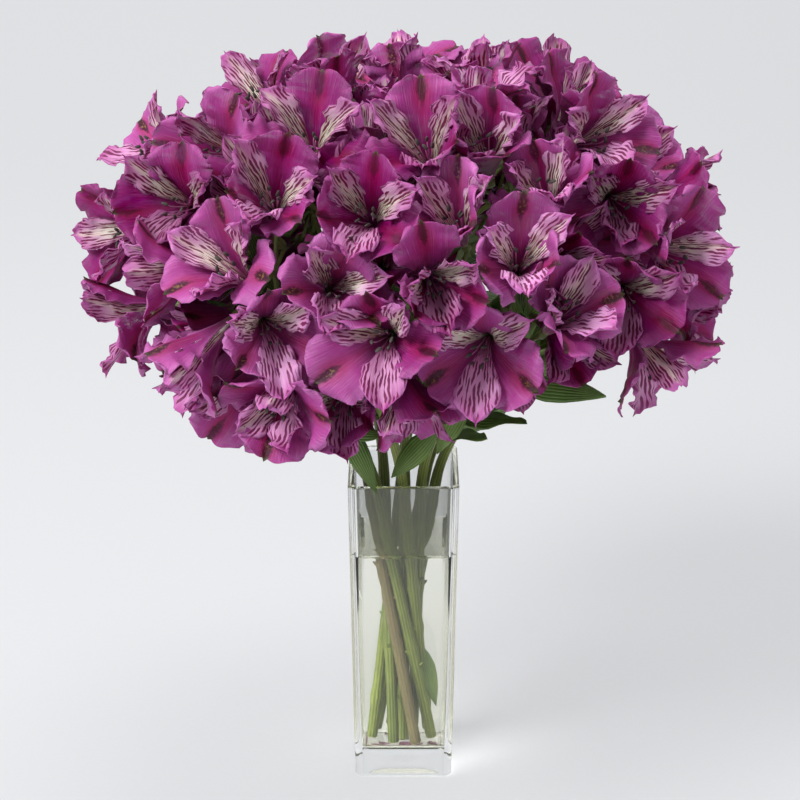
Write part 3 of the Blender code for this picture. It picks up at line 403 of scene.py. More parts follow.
@dataclass(frozen=True)
class TepalForm:
    """How a tepal of each kind leans, widens and cups: the coarse form that the solids have."""

    outer_length: float = 0.058
    inner_length: float = 0.061
    outer_width: float = 0.32
    inner_width: float = 0.175
    lower_width: float = 0.235
    base_radius: float = 0.0024
    base_lean: float = 12.0
    rib_half: float = 0.0007
    clearance: float = 0.0007
    own_clearance: float = 0.0003
    first_turn: float = 30.0
    next_turn: float = 60.0
    bend_start: float = 0.10
    outer_bend: float = 0.80
    closed: float = 26.0
    widest: float = 96.0
    least_open: float = 0.56
    spread: float = 0.10
    step: float = 6.0
    slimming: float = 0.05
    narrowest: float = 0.5
    outer_cup: Range = (0.16, 0.30)
    inner_cup: Range = (0.30, 0.40)
    outer_rows: Range = (0.36, 0.73)
    inner_rows: Range = (0.40, 0.76)
    outer_marks: Marks = ((0, 0.07), (0.36, 0.22), (0.55, 0.76), (0.73, 1.0), (1, 0.46))
    inner_marks: Marks = ((0, 0.08), (0.40, 0.34), (0.60, 0.86), (0.76, 1.0), (0.92, 0.56), (1, 0))

    def share_of_length(self, kind: Kind) -> float:
        """Gives a kind's widest half width as a share of its length."""
        widths = {Kind.OUTER: self.outer_width, Kind.INNER: self.inner_width, Kind.LOWER: self.lower_width}
        return widths[kind]

    def half_width(self, kind: Kind, share: float) -> float:
        """Gives the coarse half width at a share of the length, in lengths."""
        marks = self.outer_marks if kind is Kind.OUTER else self.inner_marks
        return self.share_of_length(kind) * profile(marks, share)

    def lean(self, kind: Kind, share: float, opening: float) -> float:
        """Gives how far the midrib leans from the bloom's axis at a share of its length, in radians.

        Args:
            kind: The sort of tepal.
            share: The place along it, from 0 at its base to 1 at its tip.
            opening: How far it opens, in degrees.

        Returns:
            The angle.
        """
        bend = max(0.0, (share - self.bend_start) / (1 - self.bend_start))
        bend **= self.outer_bend if kind is Kind.OUTER else 1.0
        return math.radians(self.base_lean + (opening - self.base_lean) * bend)

    def length(self, bloom: Bloom, index: int) -> float:
        """Gives the length of a bloom's tepal along its midrib."""
        kind = TEPALS[index][0]
        return (self.outer_length if kind is Kind.OUTER else self.inner_length) * bloom.size

    def rib(
        self, bloom: Bloom, index: int, opening: float, steps: int = 12
    ) -> tuple[list[Vector], list[Vector], Vector]:
        """Gives the midrib's points and outward normals at even steps, and its sideways direction.

        Args:
            bloom: The bloom that it belongs to.
            index: Its place in the bloom, from 0 to 5.
            opening: How far it opens, in degrees.
            steps: How many steps the midrib has.

        Returns:
            The points, the normals and the sideways direction.
        """
        kind, length = TEPALS[index][0], self.length(bloom, index)
        away = bloom.away(self.first_turn + self.next_turn * index)
        points = [bloom.base + away * self.base_radius]
        normals = []
        for i in range(steps + 1):
            angle = self.lean(kind, i / steps, opening)
            normals.append(away * math.cos(angle) - bloom.facing * math.sin(angle))
            if i < steps:
                angle = self.lean(kind, (i + 0.5) / steps, opening)
                step = bloom.facing * math.cos(angle) + away * math.sin(angle)
                points.append(points[-1] + step * (length / steps))
        return points, normals, bloom.facing.cross(away)

    @staticmethod
    def along(values: Sequence[Vector], share: float) -> Vector:
        """Gives a value between the even steps of a midrib.

        Args:
            values: The points or normals.
            share: The place along it, from 0 at its base to 1 at its tip.

        Returns:
            The value there.
        """
        place = share * (len(values) - 1)
        i = min(int(place), len(values) - 2)
        return values[i].lerp(values[i + 1], place - i)

    def cup(self, kind: Kind, opening: float) -> float:
        """Gives how far a tepal's edges curl in past its rib, as a share of its half width.

        Args:
            kind: The sort of tepal.
            opening: How far it opens, in degrees.

        Returns:
            The share.
        """
        closed = max(0.0, (self.widest - opening) / (self.widest - self.closed))
        flat, more = self.outer_cup if kind is Kind.OUTER else self.inner_cup
        return flat + more * closed

    def tree(self, bloom: Bloom, index: int, opening: float, whole: bool = True) -> BVHTree:
        """Gives the swollen coarse tepal for overlap tests, whole or without its claw.

        Args:
            bloom: The bloom that it belongs to.
            index: Its place in the bloom, from 0 to 5.
            opening: How far it opens, in degrees.
            whole: Whether the claw at its base counts.

        Returns:
            The tree of its triangles.
        """
        kind = TEPALS[index][0]
        swell = self.clearance if whole else self.own_clearance
        points, normals, sideways = self.rib(bloom, index, opening)
        length, rows = self.length(bloom, index), []
        for share in self.outer_rows if kind is Kind.OUTER else self.inner_rows:
            middle, normal = self.along(points, share), self.along(normals, share).normalized()
            half = self.half_width(kind, share) * length * bloom.slimness[index]
            cup = normal * (half * self.cup(kind, opening))
            side = sideways * (half + swell)
            back = normal * (self.rib_half + swell)
            rows.append([middle - side - cup, middle + side - cup, middle + back, middle - back])
        tips = [points[-1] + (points[-1] - points[-2]).normalized() * swell]
        if kind is Kind.OUTER:
            half = self.half_width(kind, 1.0) * length * bloom.slimness[index]
            tips[0] -= normals[-1] * (half * self.cup(kind, opening))
            side = sideways * (half + swell)
            tips = [tips[0] - side, tips[0] + side]
        if whole:
            rows = [[points[0]] * 4, *rows]
        verts = [point for row in rows for point in row]
        starts = [[4 * i + k for k in range(4)] for i in range(len(rows))]
        ends = [len(verts) + k for k in range(len(tips))]
        return BVHTree.FromPolygons(verts + tips, blade_faces(starts, ends), all_triangles=True)

    def bud_trees(self, bloom: Bloom) -> list[BVHTree]:
        """Gives the trees of a bloom's six closed tepals and of its ovary."""
        tepals = [self.tree(bloom, k, self.closed) for k in range(len(TEPALS))]
        return [*tepals, Rod(bloom.foot, bloom.base, Bloom.ovary_radius).tree()]

    def crosses_own(self, bloom: Bloom, index: int, opening: float) -> bool:
        """Says whether a tepal would cross its neighbours in the same bloom, their claws aside.

        Args:
            bloom: The bloom that it belongs to.
            index: Its place in the bloom, from 0 to 5.
            opening: How far it opens, in degrees.

        Returns:
            True where it would cross one.
        """
        tree = self.tree(bloom, index, opening, whole=False)
        for step in (1, len(TEPALS) - 1):
            other = (index + step) % len(TEPALS)
            if tree.overlap(self.tree(bloom, other, bloom.openings[other], whole=False)):
                return True
        return False

    def slim_down(self, bloom: Bloom) -> None:
        """Narrows the inner tepals of a closed bloom until they fit inside its outer ones.

        Args:
            bloom: The bloom, which is changed.
        """
        for index, (kind, _) in enumerate(TEPALS):
            while kind is not Kind.OUTER and self.crosses_own(bloom, index, bloom.openings[index]):
                bloom.slimness[index] -= self.slimming
                if bloom.slimness[index] < self.narrowest:
                    break


def blade_faces(starts: Sequence[Sequence[int]], tips: Sequence[int]) -> list[tuple[int, int, int]]:
    """Gives the triangles of a coarse blade between its rows of four points, and up to its tip.

    Args:
        starts: The numbers of the four points of each row: left, right, back and front.
        tips: The numbers of the one or two points at the tip.

    Returns:
        The three numbers of each triangle.
    """
    faces = []
    for rib in (2, 3):
        for low, high in zip(starts, starts[1:]):
            faces += [(low[0], low[rib], high[rib]), (low[0], high[rib], high[0])]
            faces += [(low[rib], low[1], high[rib]), (low[1], high[1], high[rib])]
        last = starts[-1]
        faces += [(last[0], last[rib], tips[0]), (last[rib], last[1], tips[-1])]
        if len(tips) > 1:
            faces.append((last[rib], tips[1], tips[0]))
    return faces


@dataclass(eq=False)
class Stem:
    """One cut stem: a straight foot in the vase, then a curve out to its umbel."""

    name: str
    foot: Vector
    neck: Vector
    head: Vector
    radius: float = 0.0037
    top_radius: float = 0.0028
    neck_rise: float = 0.050
    upper_steps: int = 3
    blooms: list[Bloom] = field(default_factory=list)
    cymes: list["Cyme"] = field(default_factory=list)
    leaves: list["Leaf"] = field(default_factory=list)

    def settle(self) -> None:
        """Fixes the path once the foot and the neck are in place."""
        self.turn = self.neck + (self.neck - self.foot).normalized() * self.neck_rise
        self.path = [self.foot, self.neck]
        self.radii = [self.radius, self.radius]
        for i in range(1, self.upper_steps + 1):
            t = i / self.upper_steps
            self.path.append(self.bend(t))
            self.radii.append(self.radius * (1 - t) + self.top_radius * t)

    def bend(self, t: float) -> Vector:
        """Gives a point of the curve from the neck to the head."""
        return (1 - t) ** 2 * self.neck + 2 * t * (1 - t) * self.turn + t * t * self.head

    def at(self, height: float) -> tuple[Vector, Vector]:
        """Gives the middle of the stem at a height, and its direction there.

        Args:
            height: The height in metres.

        Returns:
            The place, and the direction.
        """
        for low, high in zip(self.path, self.path[1:]):
            if low.z <= height <= high.z:
                share = (height - low.z) / (high.z - low.z)
                return low.lerp(high, share), (high - low).normalized()
        return self.path[-1], (self.path[-1] - self.path[-2]).normalized()

    def rods(self) -> list[Rod]:
        """Gives the straight pieces of the bare stem above the vase."""
        ends = zip(self.path[1:], self.path[2:], self.radii[1:])
        return [Rod(low, high, radius) for low, high, radius in ends]


# A rod with the stem or cyme that it belongs to, and a tree with its bloom or its stem
OwnedRod = tuple[object, Rod]
OwnedTree = tuple[object, BVHTree]


@dataclass(eq=False)
class Cyme:
    """One or two blooms on the pedicels that fork from the end of a ray."""

    name: str
    stem: Stem
    blooms: list[Bloom]
    seat_gap: float = 0.0003
    knob_radius: float = 0.0043
    ray_radius: float = 0.0019
    pedicel_radius: float = 0.0014
    pedicel_length: float = 0.024
    trunk_length: float = 0.0025
    pedicel_turn: float = -0.3
    backs: tuple[float, ...] = (0.0, 0.012, 0.024)
    shifts: tuple[float, ...] = (0.0, 0.005, 0.010, 0.016)
    turn_step: int = 45

    def __post_init__(self) -> None:
        """Works out the middle of the blooms' feet."""
        self.middle = sum((bloom.foot for bloom in self.blooms), Vector()) / len(self.blooms)

    def place_fork(self, back: float, shift: float, turn: float) -> None:
        """Puts the fork a little way back from the blooms, moved sideways by a shift at a turn.

        Args:
            back: How far back from the blooms' usual distance.
            shift: How far sideways.
            turn: The turn about the ray at which the shift goes, in radians.
        """
        head = self.stem.head
        line = self.middle - head
        side = line.orthogonal().normalized()
        side.rotate(Matrix.Rotation(turn, 3, line.normalized()))
        reach = max(line.length - self.pedicel_length - back, self.knob_radius * 2)
        self.fork = head + line.normalized() * reach + side * shift
        self.way = (self.fork - head).normalized()
        self.bend = self.fork + self.way * self.trunk_length
        self.ray = Rod(head, self.fork - self.way * self.seat_gap, self.ray_radius)
        self.pedicels = [Rod(self.bend, bloom.foot, self.pedicel_radius) for bloom in self.blooms]

    def find_fork(self, rods: list[OwnedRod], buds: list[OwnedTree]) -> None:
        """Takes the first place for the fork where its rods are clear of what stands already.

        Args:
            rods: The rods that stand already, with their owners.
            buds: The buds and leaves, with their owners.
        """
        for back, shift, turn in product(self.backs, self.shifts, range(0, 360, self.turn_step)):
            self.place_fork(back, shift, math.radians(turn))
            if not self.blocked(rods, buds):
                return

    def blocked(self, rods: list[OwnedRod], buds: list[OwnedTree]) -> bool:
        """Says whether another's rod or a bud is in the way, or a pedicel turns back.

        Args:
            rods: The rods that stand already, with their owners.
            buds: The buds and leaves, with their owners.

        Returns:
            True where the place is no good.
        """
        ways = [(bloom.foot - self.bend).normalized().dot(self.way) for bloom in self.blooms]
        if min(ways) < self.pedicel_turn:
            return True
        for own in [self.ray, *self.pedicels]:
            if any(own.touches(other) for owner, other in rods if owner is not self.stem):
                return True
            if own is not self.ray and any(own.touches(o) for owner, o in rods if owner is self.stem):
                return True
            tree, borne = own.tree(), [] if own is self.ray else self.blooms
            if any(tree.overlap(bud) for bloom, bud in buds if bloom not in borne):
                return True
        return False


@dataclass(eq=False)
class Leaf:
    """A lance-shaped leaf that leaves its stem, arches over and comes to a point."""

    stem: Stem
    height: float
    length: float
    turn: float
    lift: float
    droop: float
    half: float
    half_thickness: float = 0.0006
    clearance: float = 0.0007
    fold: float = 0.15
    coarse_marks: Marks = ((0.10, 0.25), (0.42, 1.0), (0.74, 0.72))

    def __post_init__(self) -> None:
        """Fixes the leaf's root, its directions and how far its tip falls."""
        self.root, line = self.stem.at(self.height)
        self.way = Vector((math.cos(self.turn), math.sin(self.turn), self.lift)).normalized()
        self.level = self.way.cross(line).normalized()
        self.normal = self.way.cross(self.level).normalized()
        self.fall = self.droop * self.length

    def roll_towards(self, eye: Vector, share: float) -> None:
        """Rolls the leaf round its midrib, a share of the way until its face looks at the eye.

        Args:
            eye: The direction towards the eye.
            share: How much of the way it rolls, from 0 to 1.
        """
        side = self.way.cross(eye).normalized()
        side = side if side.dot(self.level) > 0 else -side
        self.level = self.level.lerp(side, share).normalized()
        self.normal = self.way.cross(self.level).normalized()

    def middle(self, share: float) -> Vector:
        """Gives the point of the midrib at a share of the length."""
        return self.root + self.way * (self.length * share) - UP * (self.fall * share**2)

    def tree(self) -> BVHTree:
        """Gives the swollen coarse leaf for overlap tests.

        Returns:
            The tree of its triangles.
        """
        rows = []
        for share, width in self.coarse_marks:
            side = self.level * (self.half * width + self.clearance)
            fold = self.normal * (self.fold * self.half * width)
            thick = self.normal * (self.half_thickness + self.clearance)
            middle = self.middle(share)
            rows.append([middle - side + fold, middle + side + fold, middle + thick, middle - thick])
        verts = [point for row in rows for point in row]
        starts = [[4 * i + k for k in range(4)] for i in range(len(rows))]
        verts += [self.middle(1.0), self.root]
        tip, root = len(verts) - 2, len(verts) - 1
        faces = blade_faces(starts, [tip])
        for rib in (2, 3):
            faces += [(root, starts[0][rib], starts[0][0]), (root, starts[0][1], starts[0][rib])]
        return BVHTree.FromPolygons(verts, faces, all_triangles=True)


@dataclass(eq=False)
class Bouquet:
    """Where every stem, bloom, ray and leaf stands, worked out as the source does."""

    view: PhotoView
    dome: Dome
    vase: VaseSizes
    form: TepalForm
    ring_stems: int = 8
    foot_ring: float = 0.0215
    neck_ring: float = 0.0225
    neck_height: float = 0.216
    neck_gap: float = 0.002
    first_foot: float = -23.0
    stem_twist: float = -115.0
    head_twist: float = -14.0
    stem_jitter: float = 0.0040
    head_ring: float = 0.086
    head_height: float = 0.322
    middle_neck_shift: float = 0.001
    middle_head_shift: float = 0.01
    middle_head_height: float = 0.372
    stem_spacing: float = 0.0090
    stem_relax_steps: int = 200
    stem_probes: tuple[float, ...] = (0, 0.17, 0.33, 0.5, 0.67, 0.83, 1)
    seat_gap: float = 0.0003
    front_lean_spread: float = 0.40
    front_deepest: float = 0.92
    least_towards: float = 0.05
    size_spread: float = 0.07
    facing_spread: float = 0.52
    roll_spread: float = 30.0
    untangle_steps: int = 14
    untangle_turn: float = 0.3
    untangle_shrink: float = 0.94
    nod: float = 0.22
    nod_roll: float = 26.0
    near_by: float = 2.2
    rod_reach: float = 0.004
    opening_order: tuple[int, ...] = (1, 3, 5, 0, 2, 4)
    pair_reach: float = 0.075
    middle_cone: float = 27.0
    low_leaves: int = 3
    high_leaves: int = 3
    leaf_length: float = 0.078
    leaf_half: float = 0.0105
    leaf_lowest: float = 0.252
    leaf_tip_lowest: float = 0.285
    leaf_lengths: Range = (0.75, 1.1)
    leaf_halves: Range = (0.85, 1.2)
    leaf_droops: Range = (0.0, 0.25)
    low_leaf_lifts: Range = (0.1, 1.0)
    high_leaf_lifts: Range = (0.4, 1.8)
    leaf_crowding: float = 0.8
    leaf_below_head: float = 0.004
    leaf_tries: int = 16
    photo_leaf_spots: int = 11
    photo_leaf_droop: float = 0.12
    photo_leaf_forward: float = 0.012
    photo_leaf_lowest: float = 0.236
    photo_leaf_roll: float = 0.65
    sunk_leaf_lowest: float = 0.050
    deep_leaf_forward: float = 0.040
    deep_leaf_roll: float = 0.8
    young_room: float = 0.026
    young_depth: float = 0.80
    young_depths: Range = (-0.03, 0.06)
    young_tilt: float = 0.40
    young_roll: float = 60.0
    young_sizes: Range = (0.76, 0.98)
    young_openings: Range = (26, 56)
    young_uneven: float = 9.0
    bract_count: int = 9
    bract_drop: float = 0.001
    bract_jitter: float = 0.3
    bract_lengths: Range = (0.6, 1.0)
    bract_halves: Range = (0.8, 1.2)
    bract_lifts: Range = (0.1, 1.3)
    bract_droop: float = 0.1

    def __post_init__(self) -> None:
        """Places everything, in the order of the source's draws."""
        self.chance = np.random.default_rng(SEED)
        self.stems = self.make_stems()
        self.blooms = self.place_blooms()
        self.share_out()
        self.place_photo_leaves()
        self.cymes, self.rods = self.make_cymes()
        self.trees = self.open_blooms()
        self.add_leaves()

    def ring_point(self, radius: float, degrees: float, height: float) -> Vector:
        """Gives a point on a level ring about the vase's middle."""
        turn = math.radians(degrees)
        return Vector((radius * math.cos(turn), radius * math.sin(turn), height))

    def jitter(self) -> Vector:
        """Draws a small level shift."""
        return Vector((*self.chance.uniform(-self.stem_jitter, self.stem_jitter, 2), 0))

    def make_stems(self) -> list[Stem]:
        """Places the nine stems, in the order of their feet, with the middle one last.

        Returns:
            The stems.
        """
        foot_height = self.vase.floor + self.seat_gap
        stems = []
        for i in range(self.ring_stems):
            turn = self.first_foot + 360.0 * i / self.ring_stems
            foot = self.ring_point(self.foot_ring, turn, foot_height) + self.jitter()
            neck = self.ring_point(self.neck_ring, turn + self.stem_twist, self.neck_height) + self.jitter()
            head_turn = turn + self.stem_twist + self.head_twist
            head = self.ring_point(self.head_ring, head_turn, self.head_height) + 2 * self.jitter()
            stems.append(Stem(f"stem_{i + 1}", foot, neck, head))
        foot = Vector((0, 0, foot_height - self.vase.dimple_depth))
        neck = Vector((self.middle_neck_shift, 0, self.neck_height))
        head = Vector((0, self.middle_head_shift, self.middle_head_height))
        stems.append(Stem(f"stem_{self.ring_stems + 1}", foot, neck, head))
        self.spread_stems(stems)
        for stem in stems:
            tilt = (stem.neck - stem.foot).angle(UP)
            stem.foot.z += Stem.radius * math.sin(tilt)
            stem.settle()
        return stems

    def spread_stems(self, stems: list[Stem]) -> None:
        """Pushes the straight feet of the stems apart until none touches another or the glass.

        Args:
            stems: The stems, the middle one last, which are moved.
        """
        vase = self.vase
        foot_room = vase.inner_half(vase.floor) - vase.cavity_rounding - Stem.radius - 2 * self.seat_gap
        neck_room = vase.inner_half(self.neck_height) - Stem.radius - self.neck_gap
        for _ in range(self.stem_relax_steps):
            for first, second in combinations(stems, 2):
                for share in self.stem_probes:
                    apart = second.foot.lerp(second.neck, share) - first.foot.lerp(first.neck, share)
                    apart.z = 0
                    short = self.stem_spacing - apart.length
                    if short > 0:
                        shift = apart.normalized() * (short / 2)
                        first.foot -= shift * (1 - share)
                        first.neck -= shift * share
                        second.foot += shift * (1 - share) * (second is not stems[-1])
                        second.neck += shift * share
            for stem in stems:
                for end, room in ((stem.foot, foot_room), (stem.neck, neck_room)):
                    end.x = max(-room, min(room, end.x))
                    end.y = max(-room, min(room, end.y))

    def place_blooms(self) -> list[Bloom]:
        """Places the blooms read from the picture, then the dome's lattice where there is room.

        Returns:
            The blooms, those of the picture first.
        """
        right, up, towards = self.view.axes()
        chance, dome, made = self.chance, self.dome, []
        for pixel_x, pixel_y, lean_right, lean_up, roll in FRONT_BLOOMS:
            lean_right += chance.uniform(-self.front_lean_spread, self.front_lean_spread)
            lean_up += chance.uniform(-self.front_lean_spread, self.front_lean_spread)
            rest = math.sqrt(max(self.least_towards, 1 - lean_right**2 - lean_up**2))
            facing = (right * lean_right + up * lean_up + towards * rest).normalized()
            depth = chance.uniform(self.front_deepest, dome.farthest)
            size = 1 + chance.uniform(0, self.size_spread)
            throat = dome.seen_at(self.view, pixel_x, pixel_y, depth)
            made.append(Bloom(throat, facing, dome.reach(throat), size, roll))
        for point in dome.spread():
            depth = chance.uniform(dome.deepest, dome.farthest)
            tilt = Vector(chance.uniform(-1, 1, 3)) * self.facing_spread
            size = 1 + chance.uniform(-self.size_spread, self.size_spread)
            roll = chance.uniform(-self.roll_spread, self.roll_spread)
            throat = dome.onto(point, depth)
            room = dome.spacing(throat)
            if all((throat - other.throat).length > room for other in made):
                made.append(Bloom(throat, (dome.normal(point) + tilt).normalized(), depth, size, roll))
        self.spread_blooms(made)
        for bloom in made:
            bloom.settle()
        self.untangle(made)
        return made

    def spread_blooms(self, blooms: list[Bloom]) -> None:
        """Pushes neighbours apart, where those of the lattice give way to those of the picture.

        Args:
            blooms: The blooms, those of the picture first.
        """
        dome, shown = self.dome, len(FRONT_BLOOMS)
        for _ in range(dome.relax_steps):
            for (i, first), (j, second) in combinations(enumerate(blooms), 2):
                apart = second.throat - first.throat
                short = dome.spacing(first.throat.lerp(second.throat, 0.5)) - apart.length
                if short > 0:
                    alike = (i < shown) == (j < shown)
                    shift = apart.normalized() * (short / 2 if alike else short)
                    if alike:
                        first.throat = dome.onto(first.throat - shift, first.depth)
                    second.throat = dome.onto(second.throat + shift, second.depth)

    def bud_trees(self, blooms: list[Bloom]) -> list[list[BVHTree]]:
        """Gives the trees of every closed tepal and ovary, bloom by bloom."""
        return [self.form.bud_trees(bloom) for bloom in blooms]

    def untangle(self, blooms: list[Bloom]) -> None:
        """Turns and shrinks blooms a little until none of their buds crosses another's.

        Args:
            blooms: The blooms, those of the picture first.
        """
        reach = self.near_by * self.form.outer_length
        for step in range(self.untangle_steps):
            buds = self.bud_trees(blooms)
            tangled = set()
            for i, j in combinations(range(len(blooms)), 2):
                if (blooms[i].throat - blooms[j].throat).length < reach:
                    if any(a.overlap(b) for a, b in product(buds[i], buds[j])):
                        tangled |= {i, j}
            for i in sorted(tangled):
                bloom = blooms[i]
                outward = self.dome.normal(bloom.throat)
                bloom.facing = bloom.facing.lerp(outward, self.untangle_turn).normalized()
                if step > self.untangle_steps // 2:
                    bloom.size *= self.untangle_shrink
                bloom.settle()

    def share_out(self) -> None:
        """Gives each bloom to a stem: the middle one takes the top, the others their own side."""
        apex = Vector((0, 0, self.neck_height))
        heads = [(stem, Vector((stem.head.x, stem.head.y, 0)).normalized()) for stem in self.stems[:-1]]
        for bloom in self.blooms:
            way = (bloom.base - apex).normalized()
            if way.angle(UP) < math.radians(self.middle_cone):
                self.stems[-1].blooms.append(bloom)
                continue
            bearing = Vector((way.x, way.y, 0))
            max(heads, key=lambda pair: bearing.dot(pair[1]))[0].blooms.append(bloom)

    def pair_up(self, blooms: list[Bloom]) -> list[list[Bloom]]:
        """Groups the blooms in ones and twos, nearest neighbours first.

        Args:
            blooms: The blooms of one stem.

        Returns:
            The groups.
        """
        left = sorted(blooms, key=lambda bloom: -bloom.base.z)
        groups = []
        while left:
            first = left.pop(0)
            near = sorted(left, key=lambda bloom: (bloom.base - first.base).length)
            if near and (near[0].base - first.base).length < self.pair_reach:
                left.remove(near[0])
                groups.append([first, near[0]])
            else:
                groups.append([first])
        return groups

    def make_cymes(self) -> tuple[list[Cyme], list[OwnedRod]]:
        """Places the cymes of all the stems, and lists every rod with its owner.

        Returns:
            The cymes, and the rods with their owners.
        """
        rods: list[OwnedRod] = [(stem, rod) for stem in self.stems for rod in stem.rods()]
        trees = self.bud_trees(self.blooms)
        buds = [(bloom, tree) for bloom, row in zip(self.blooms, trees) for tree in row]
        buds += [(None, leaf.tree()) for stem in self.stems for leaf in stem.leaves]
        made = []
        for stem in self.stems:
            for i, pair in enumerate(self.pair_up(stem.blooms)):
                cyme = Cyme(f"{stem.name}_cyme_{i + 1}", stem, pair)
                cyme.find_fork(rods, buds)
                rods.append((stem, cyme.ray))
                rods += [(cyme, rod) for rod in cyme.pedicels]
                stem.cymes.append(cyme)
                made.append(cyme)
        return made, rods

    def open_blooms(self) -> list[list[BVHTree]]:
        """Opens every tepal a step at a time until it nears another or reaches its own width.

        Returns:
            The trees of each bloom's tepals and ovary, bloom by bloom.
        """
        form, blooms = self.form, self.blooms
        near, near_rods = [], []
        leaf_trees = [leaf.tree() for stem in self.stems for leaf in stem.leaves]
        for bloom in blooms:
            form.slim_down(bloom)
            others = [i for i, other in enumerate(blooms) if other is not bloom]
            reach = self.near_by * form.outer_length
            near.append([i for i in others if (blooms[i].base - bloom.base).length < reach])
            reach = form.inner_length * bloom.size + self.rod_reach
            close = [rod.tree() for _, rod in self.rods if rod.distance(bloom.base) < reach]
            near_rods.append(close + leaf_trees)
        trees = self.bud_trees(blooms)
        limits = []
        for _ in blooms:
            open_share = self.chance.uniform(form.least_open, 1.0)
            spread = self.chance.uniform(1 - form.spread, 1 + form.spread, len(TEPALS))
            wides = zip(TEPALS, spread)
            limits.append([form.widest * open_share * wide * extra for (_, wide), extra in wides])
        growing = list(product(range(len(blooms)), self.opening_order))
        while growing:
            still = []
            for i, k in growing:
                wider = blooms[i].openings[k] + form.step
                if wider > limits[i][k]:
                    continue
                tree = form.tree(blooms[i], k, wider)
                blocked = any(tree.overlap(other) for j in near[i] for other in trees[j])
                blocked = blocked or any(tree.overlap(other) for other in near_rods[i])
                if not blocked and not form.crosses_own(blooms[i], k, wider):
                    blooms[i].openings[k] = wider
                    trees[i][k] = tree
                    still.append((i, k))
            growing = still
        return trees

    def young_blooms(self, chance: np.random.Generator) -> list[tuple[Bloom, Cyme]]:
        """Finds the hollows between the blooms, and puts a half-open bloom deep in each.

        Args:
            chance: The source of their tilts, sizes and openings.

        Returns:
            Each young bloom with the cyme whose fork it grows from.
        """
        dome, made = self.dome, []
        taken = [dome.onto(bloom.throat) for bloom in self.blooms]
        spots = sorted(dome.spread(), key=lambda p: -min((p - other).length for other in taken))
        for spot in spots:
            if min((spot - other).length for other in taken) < self.young_room:
                continue
            taken.append(spot)
            tilt = Vector(chance.uniform(-1, 1, 3)) * self.young_tilt
            throat = dome.onto(spot, self.young_depth + chance.uniform(*self.young_depths))
            facing = (dome.normal(spot) + tilt).normalized()
            size = chance.uniform(*self.young_sizes)
            roll = chance.uniform(-self.young_roll, self.young_roll)
            young = Bloom(throat, facing, self.young_depth, size, roll)
            young.settle()
            wide = chance.uniform(*self.young_openings)
            young.openings = [wide + chance.uniform(-self.young_uneven, self.young_uneven) for _ in TEPALS]
            made.append((young, min(self.cymes, key=lambda cyme: (cyme.fork - young.foot).length)))
        return made

    def nodding(self, bloom: Bloom, chance: np.random.Generator) -> Bloom:
        """Gives a copy of a bloom that nods and rolls a little, as no two face alike.

        Args:
            bloom: The bloom to copy.
            chance: The source of the small irregularities.

        Returns:
            The copy.
        """
        tilt = Vector(chance.uniform(-1, 1, 3)) * self.nod
        roll = bloom.roll + chance.uniform(-self.nod_roll, self.nod_roll)
        posed = replace(bloom, facing=(bloom.facing + tilt).normalized(), roll=roll)
        posed.settle()
        return posed

    def photo_leaf(self, marks: tuple[float, ...], lowest: float, forward: float) -> tuple[Stem, Leaf]:
        """Gives a leaf that the picture shows, and the stem nearest to its root.

        Args:
            marks: The pixels of its root and its tip, and its half width.
            lowest: The lowest height that its root may have.
            forward: How much nearer to the viewer its tip is than its root.

        Returns:
            The stem and the leaf.
        """
        root_x, root_y, tip_x, tip_y, half = marks
        eye, line = self.view.line(root_x, root_y)
        found = []
        for stem in self.stems:
            for i in range(self.photo_leaf_spots):
                height = lowest + (stem.head.z - lowest) * i / self.photo_leaf_spots
                offset = stem.at(height)[0] - eye
                found.append(((offset - line * offset.dot(line)).length, stem.name, height, stem))
        _, _, height, stem = min(found, key=lambda spot: spot[:3])
        root = stem.at(height)[0]
        eye, line = self.view.line(tip_x, tip_y)
        tip = eye + line * ((root.y - forward - eye.y) / line.y)
        length, droop = (tip - root).length, self.photo_leaf_droop
        aim = tip + UP * (droop * length) - root
        turn, lift = math.atan2(aim.y, aim.x), aim.z / math.hypot(aim.x, aim.y)
        return stem, Leaf(stem, height, length, turn, lift, droop, half)

    def place_photo_leaves(self) -> None:
        """Gives the leaves that the picture shows above the glass to their stems."""
        self.photo_leaves = []
        for marks in PHOTO_LEAVES:
            stem, leaf = self.photo_leaf(marks, self.photo_leaf_lowest, self.photo_leaf_forward)
            stem.leaves.append(leaf)
            self.photo_leaves.append(leaf)

    def finish_leaves(self) -> None:
        """Shows the picture's leaves their faces, and hangs the leaf that stayed on in the water."""
        towards = self.view.axes()[2]
        for leaf in self.photo_leaves:
            leaf.roll_towards(towards, self.photo_leaf_roll)
        stem, leaf = self.photo_leaf(SUNK_LEAF, self.sunk_leaf_lowest, 0.0)
        leaf.roll_towards(towards, 1.0)
        stem.leaves.append(leaf)
        self.deep_leaves = []
        for marks in DEEP_LEAVES:
            _, leaf = self.photo_leaf(marks, self.photo_leaf_lowest, self.deep_leaf_forward)
            leaf.roll_towards(towards, self.deep_leaf_roll)
            self.deep_leaves.append(leaf)

    def bracts(self, stem: Stem, chance: np.random.Generator) -> list[Leaf]:
        """Gives the whorl of small leaves under a stem's umbel.

        Args:
            stem: The stem.
            chance: The source of the small irregularities.

        Returns:
            The leaves.
        """
        first = chance.uniform(0, 2 * math.pi)
        height = stem.head.z - self.bract_drop
        made = []
        for i in range(self.bract_count):
            turn = first + 2 * math.pi * i / self.bract_count
            turn += chance.uniform(-self.bract_jitter, self.bract_jitter)
            length = self.leaf_length * chance.uniform(*self.bract_lengths)
            half = self.leaf_half * chance.uniform(*self.bract_halves)
            lift = chance.uniform(*self.bract_lifts)
            made.append(Leaf(stem, height, length, turn, lift, self.bract_droop, half))
        return made

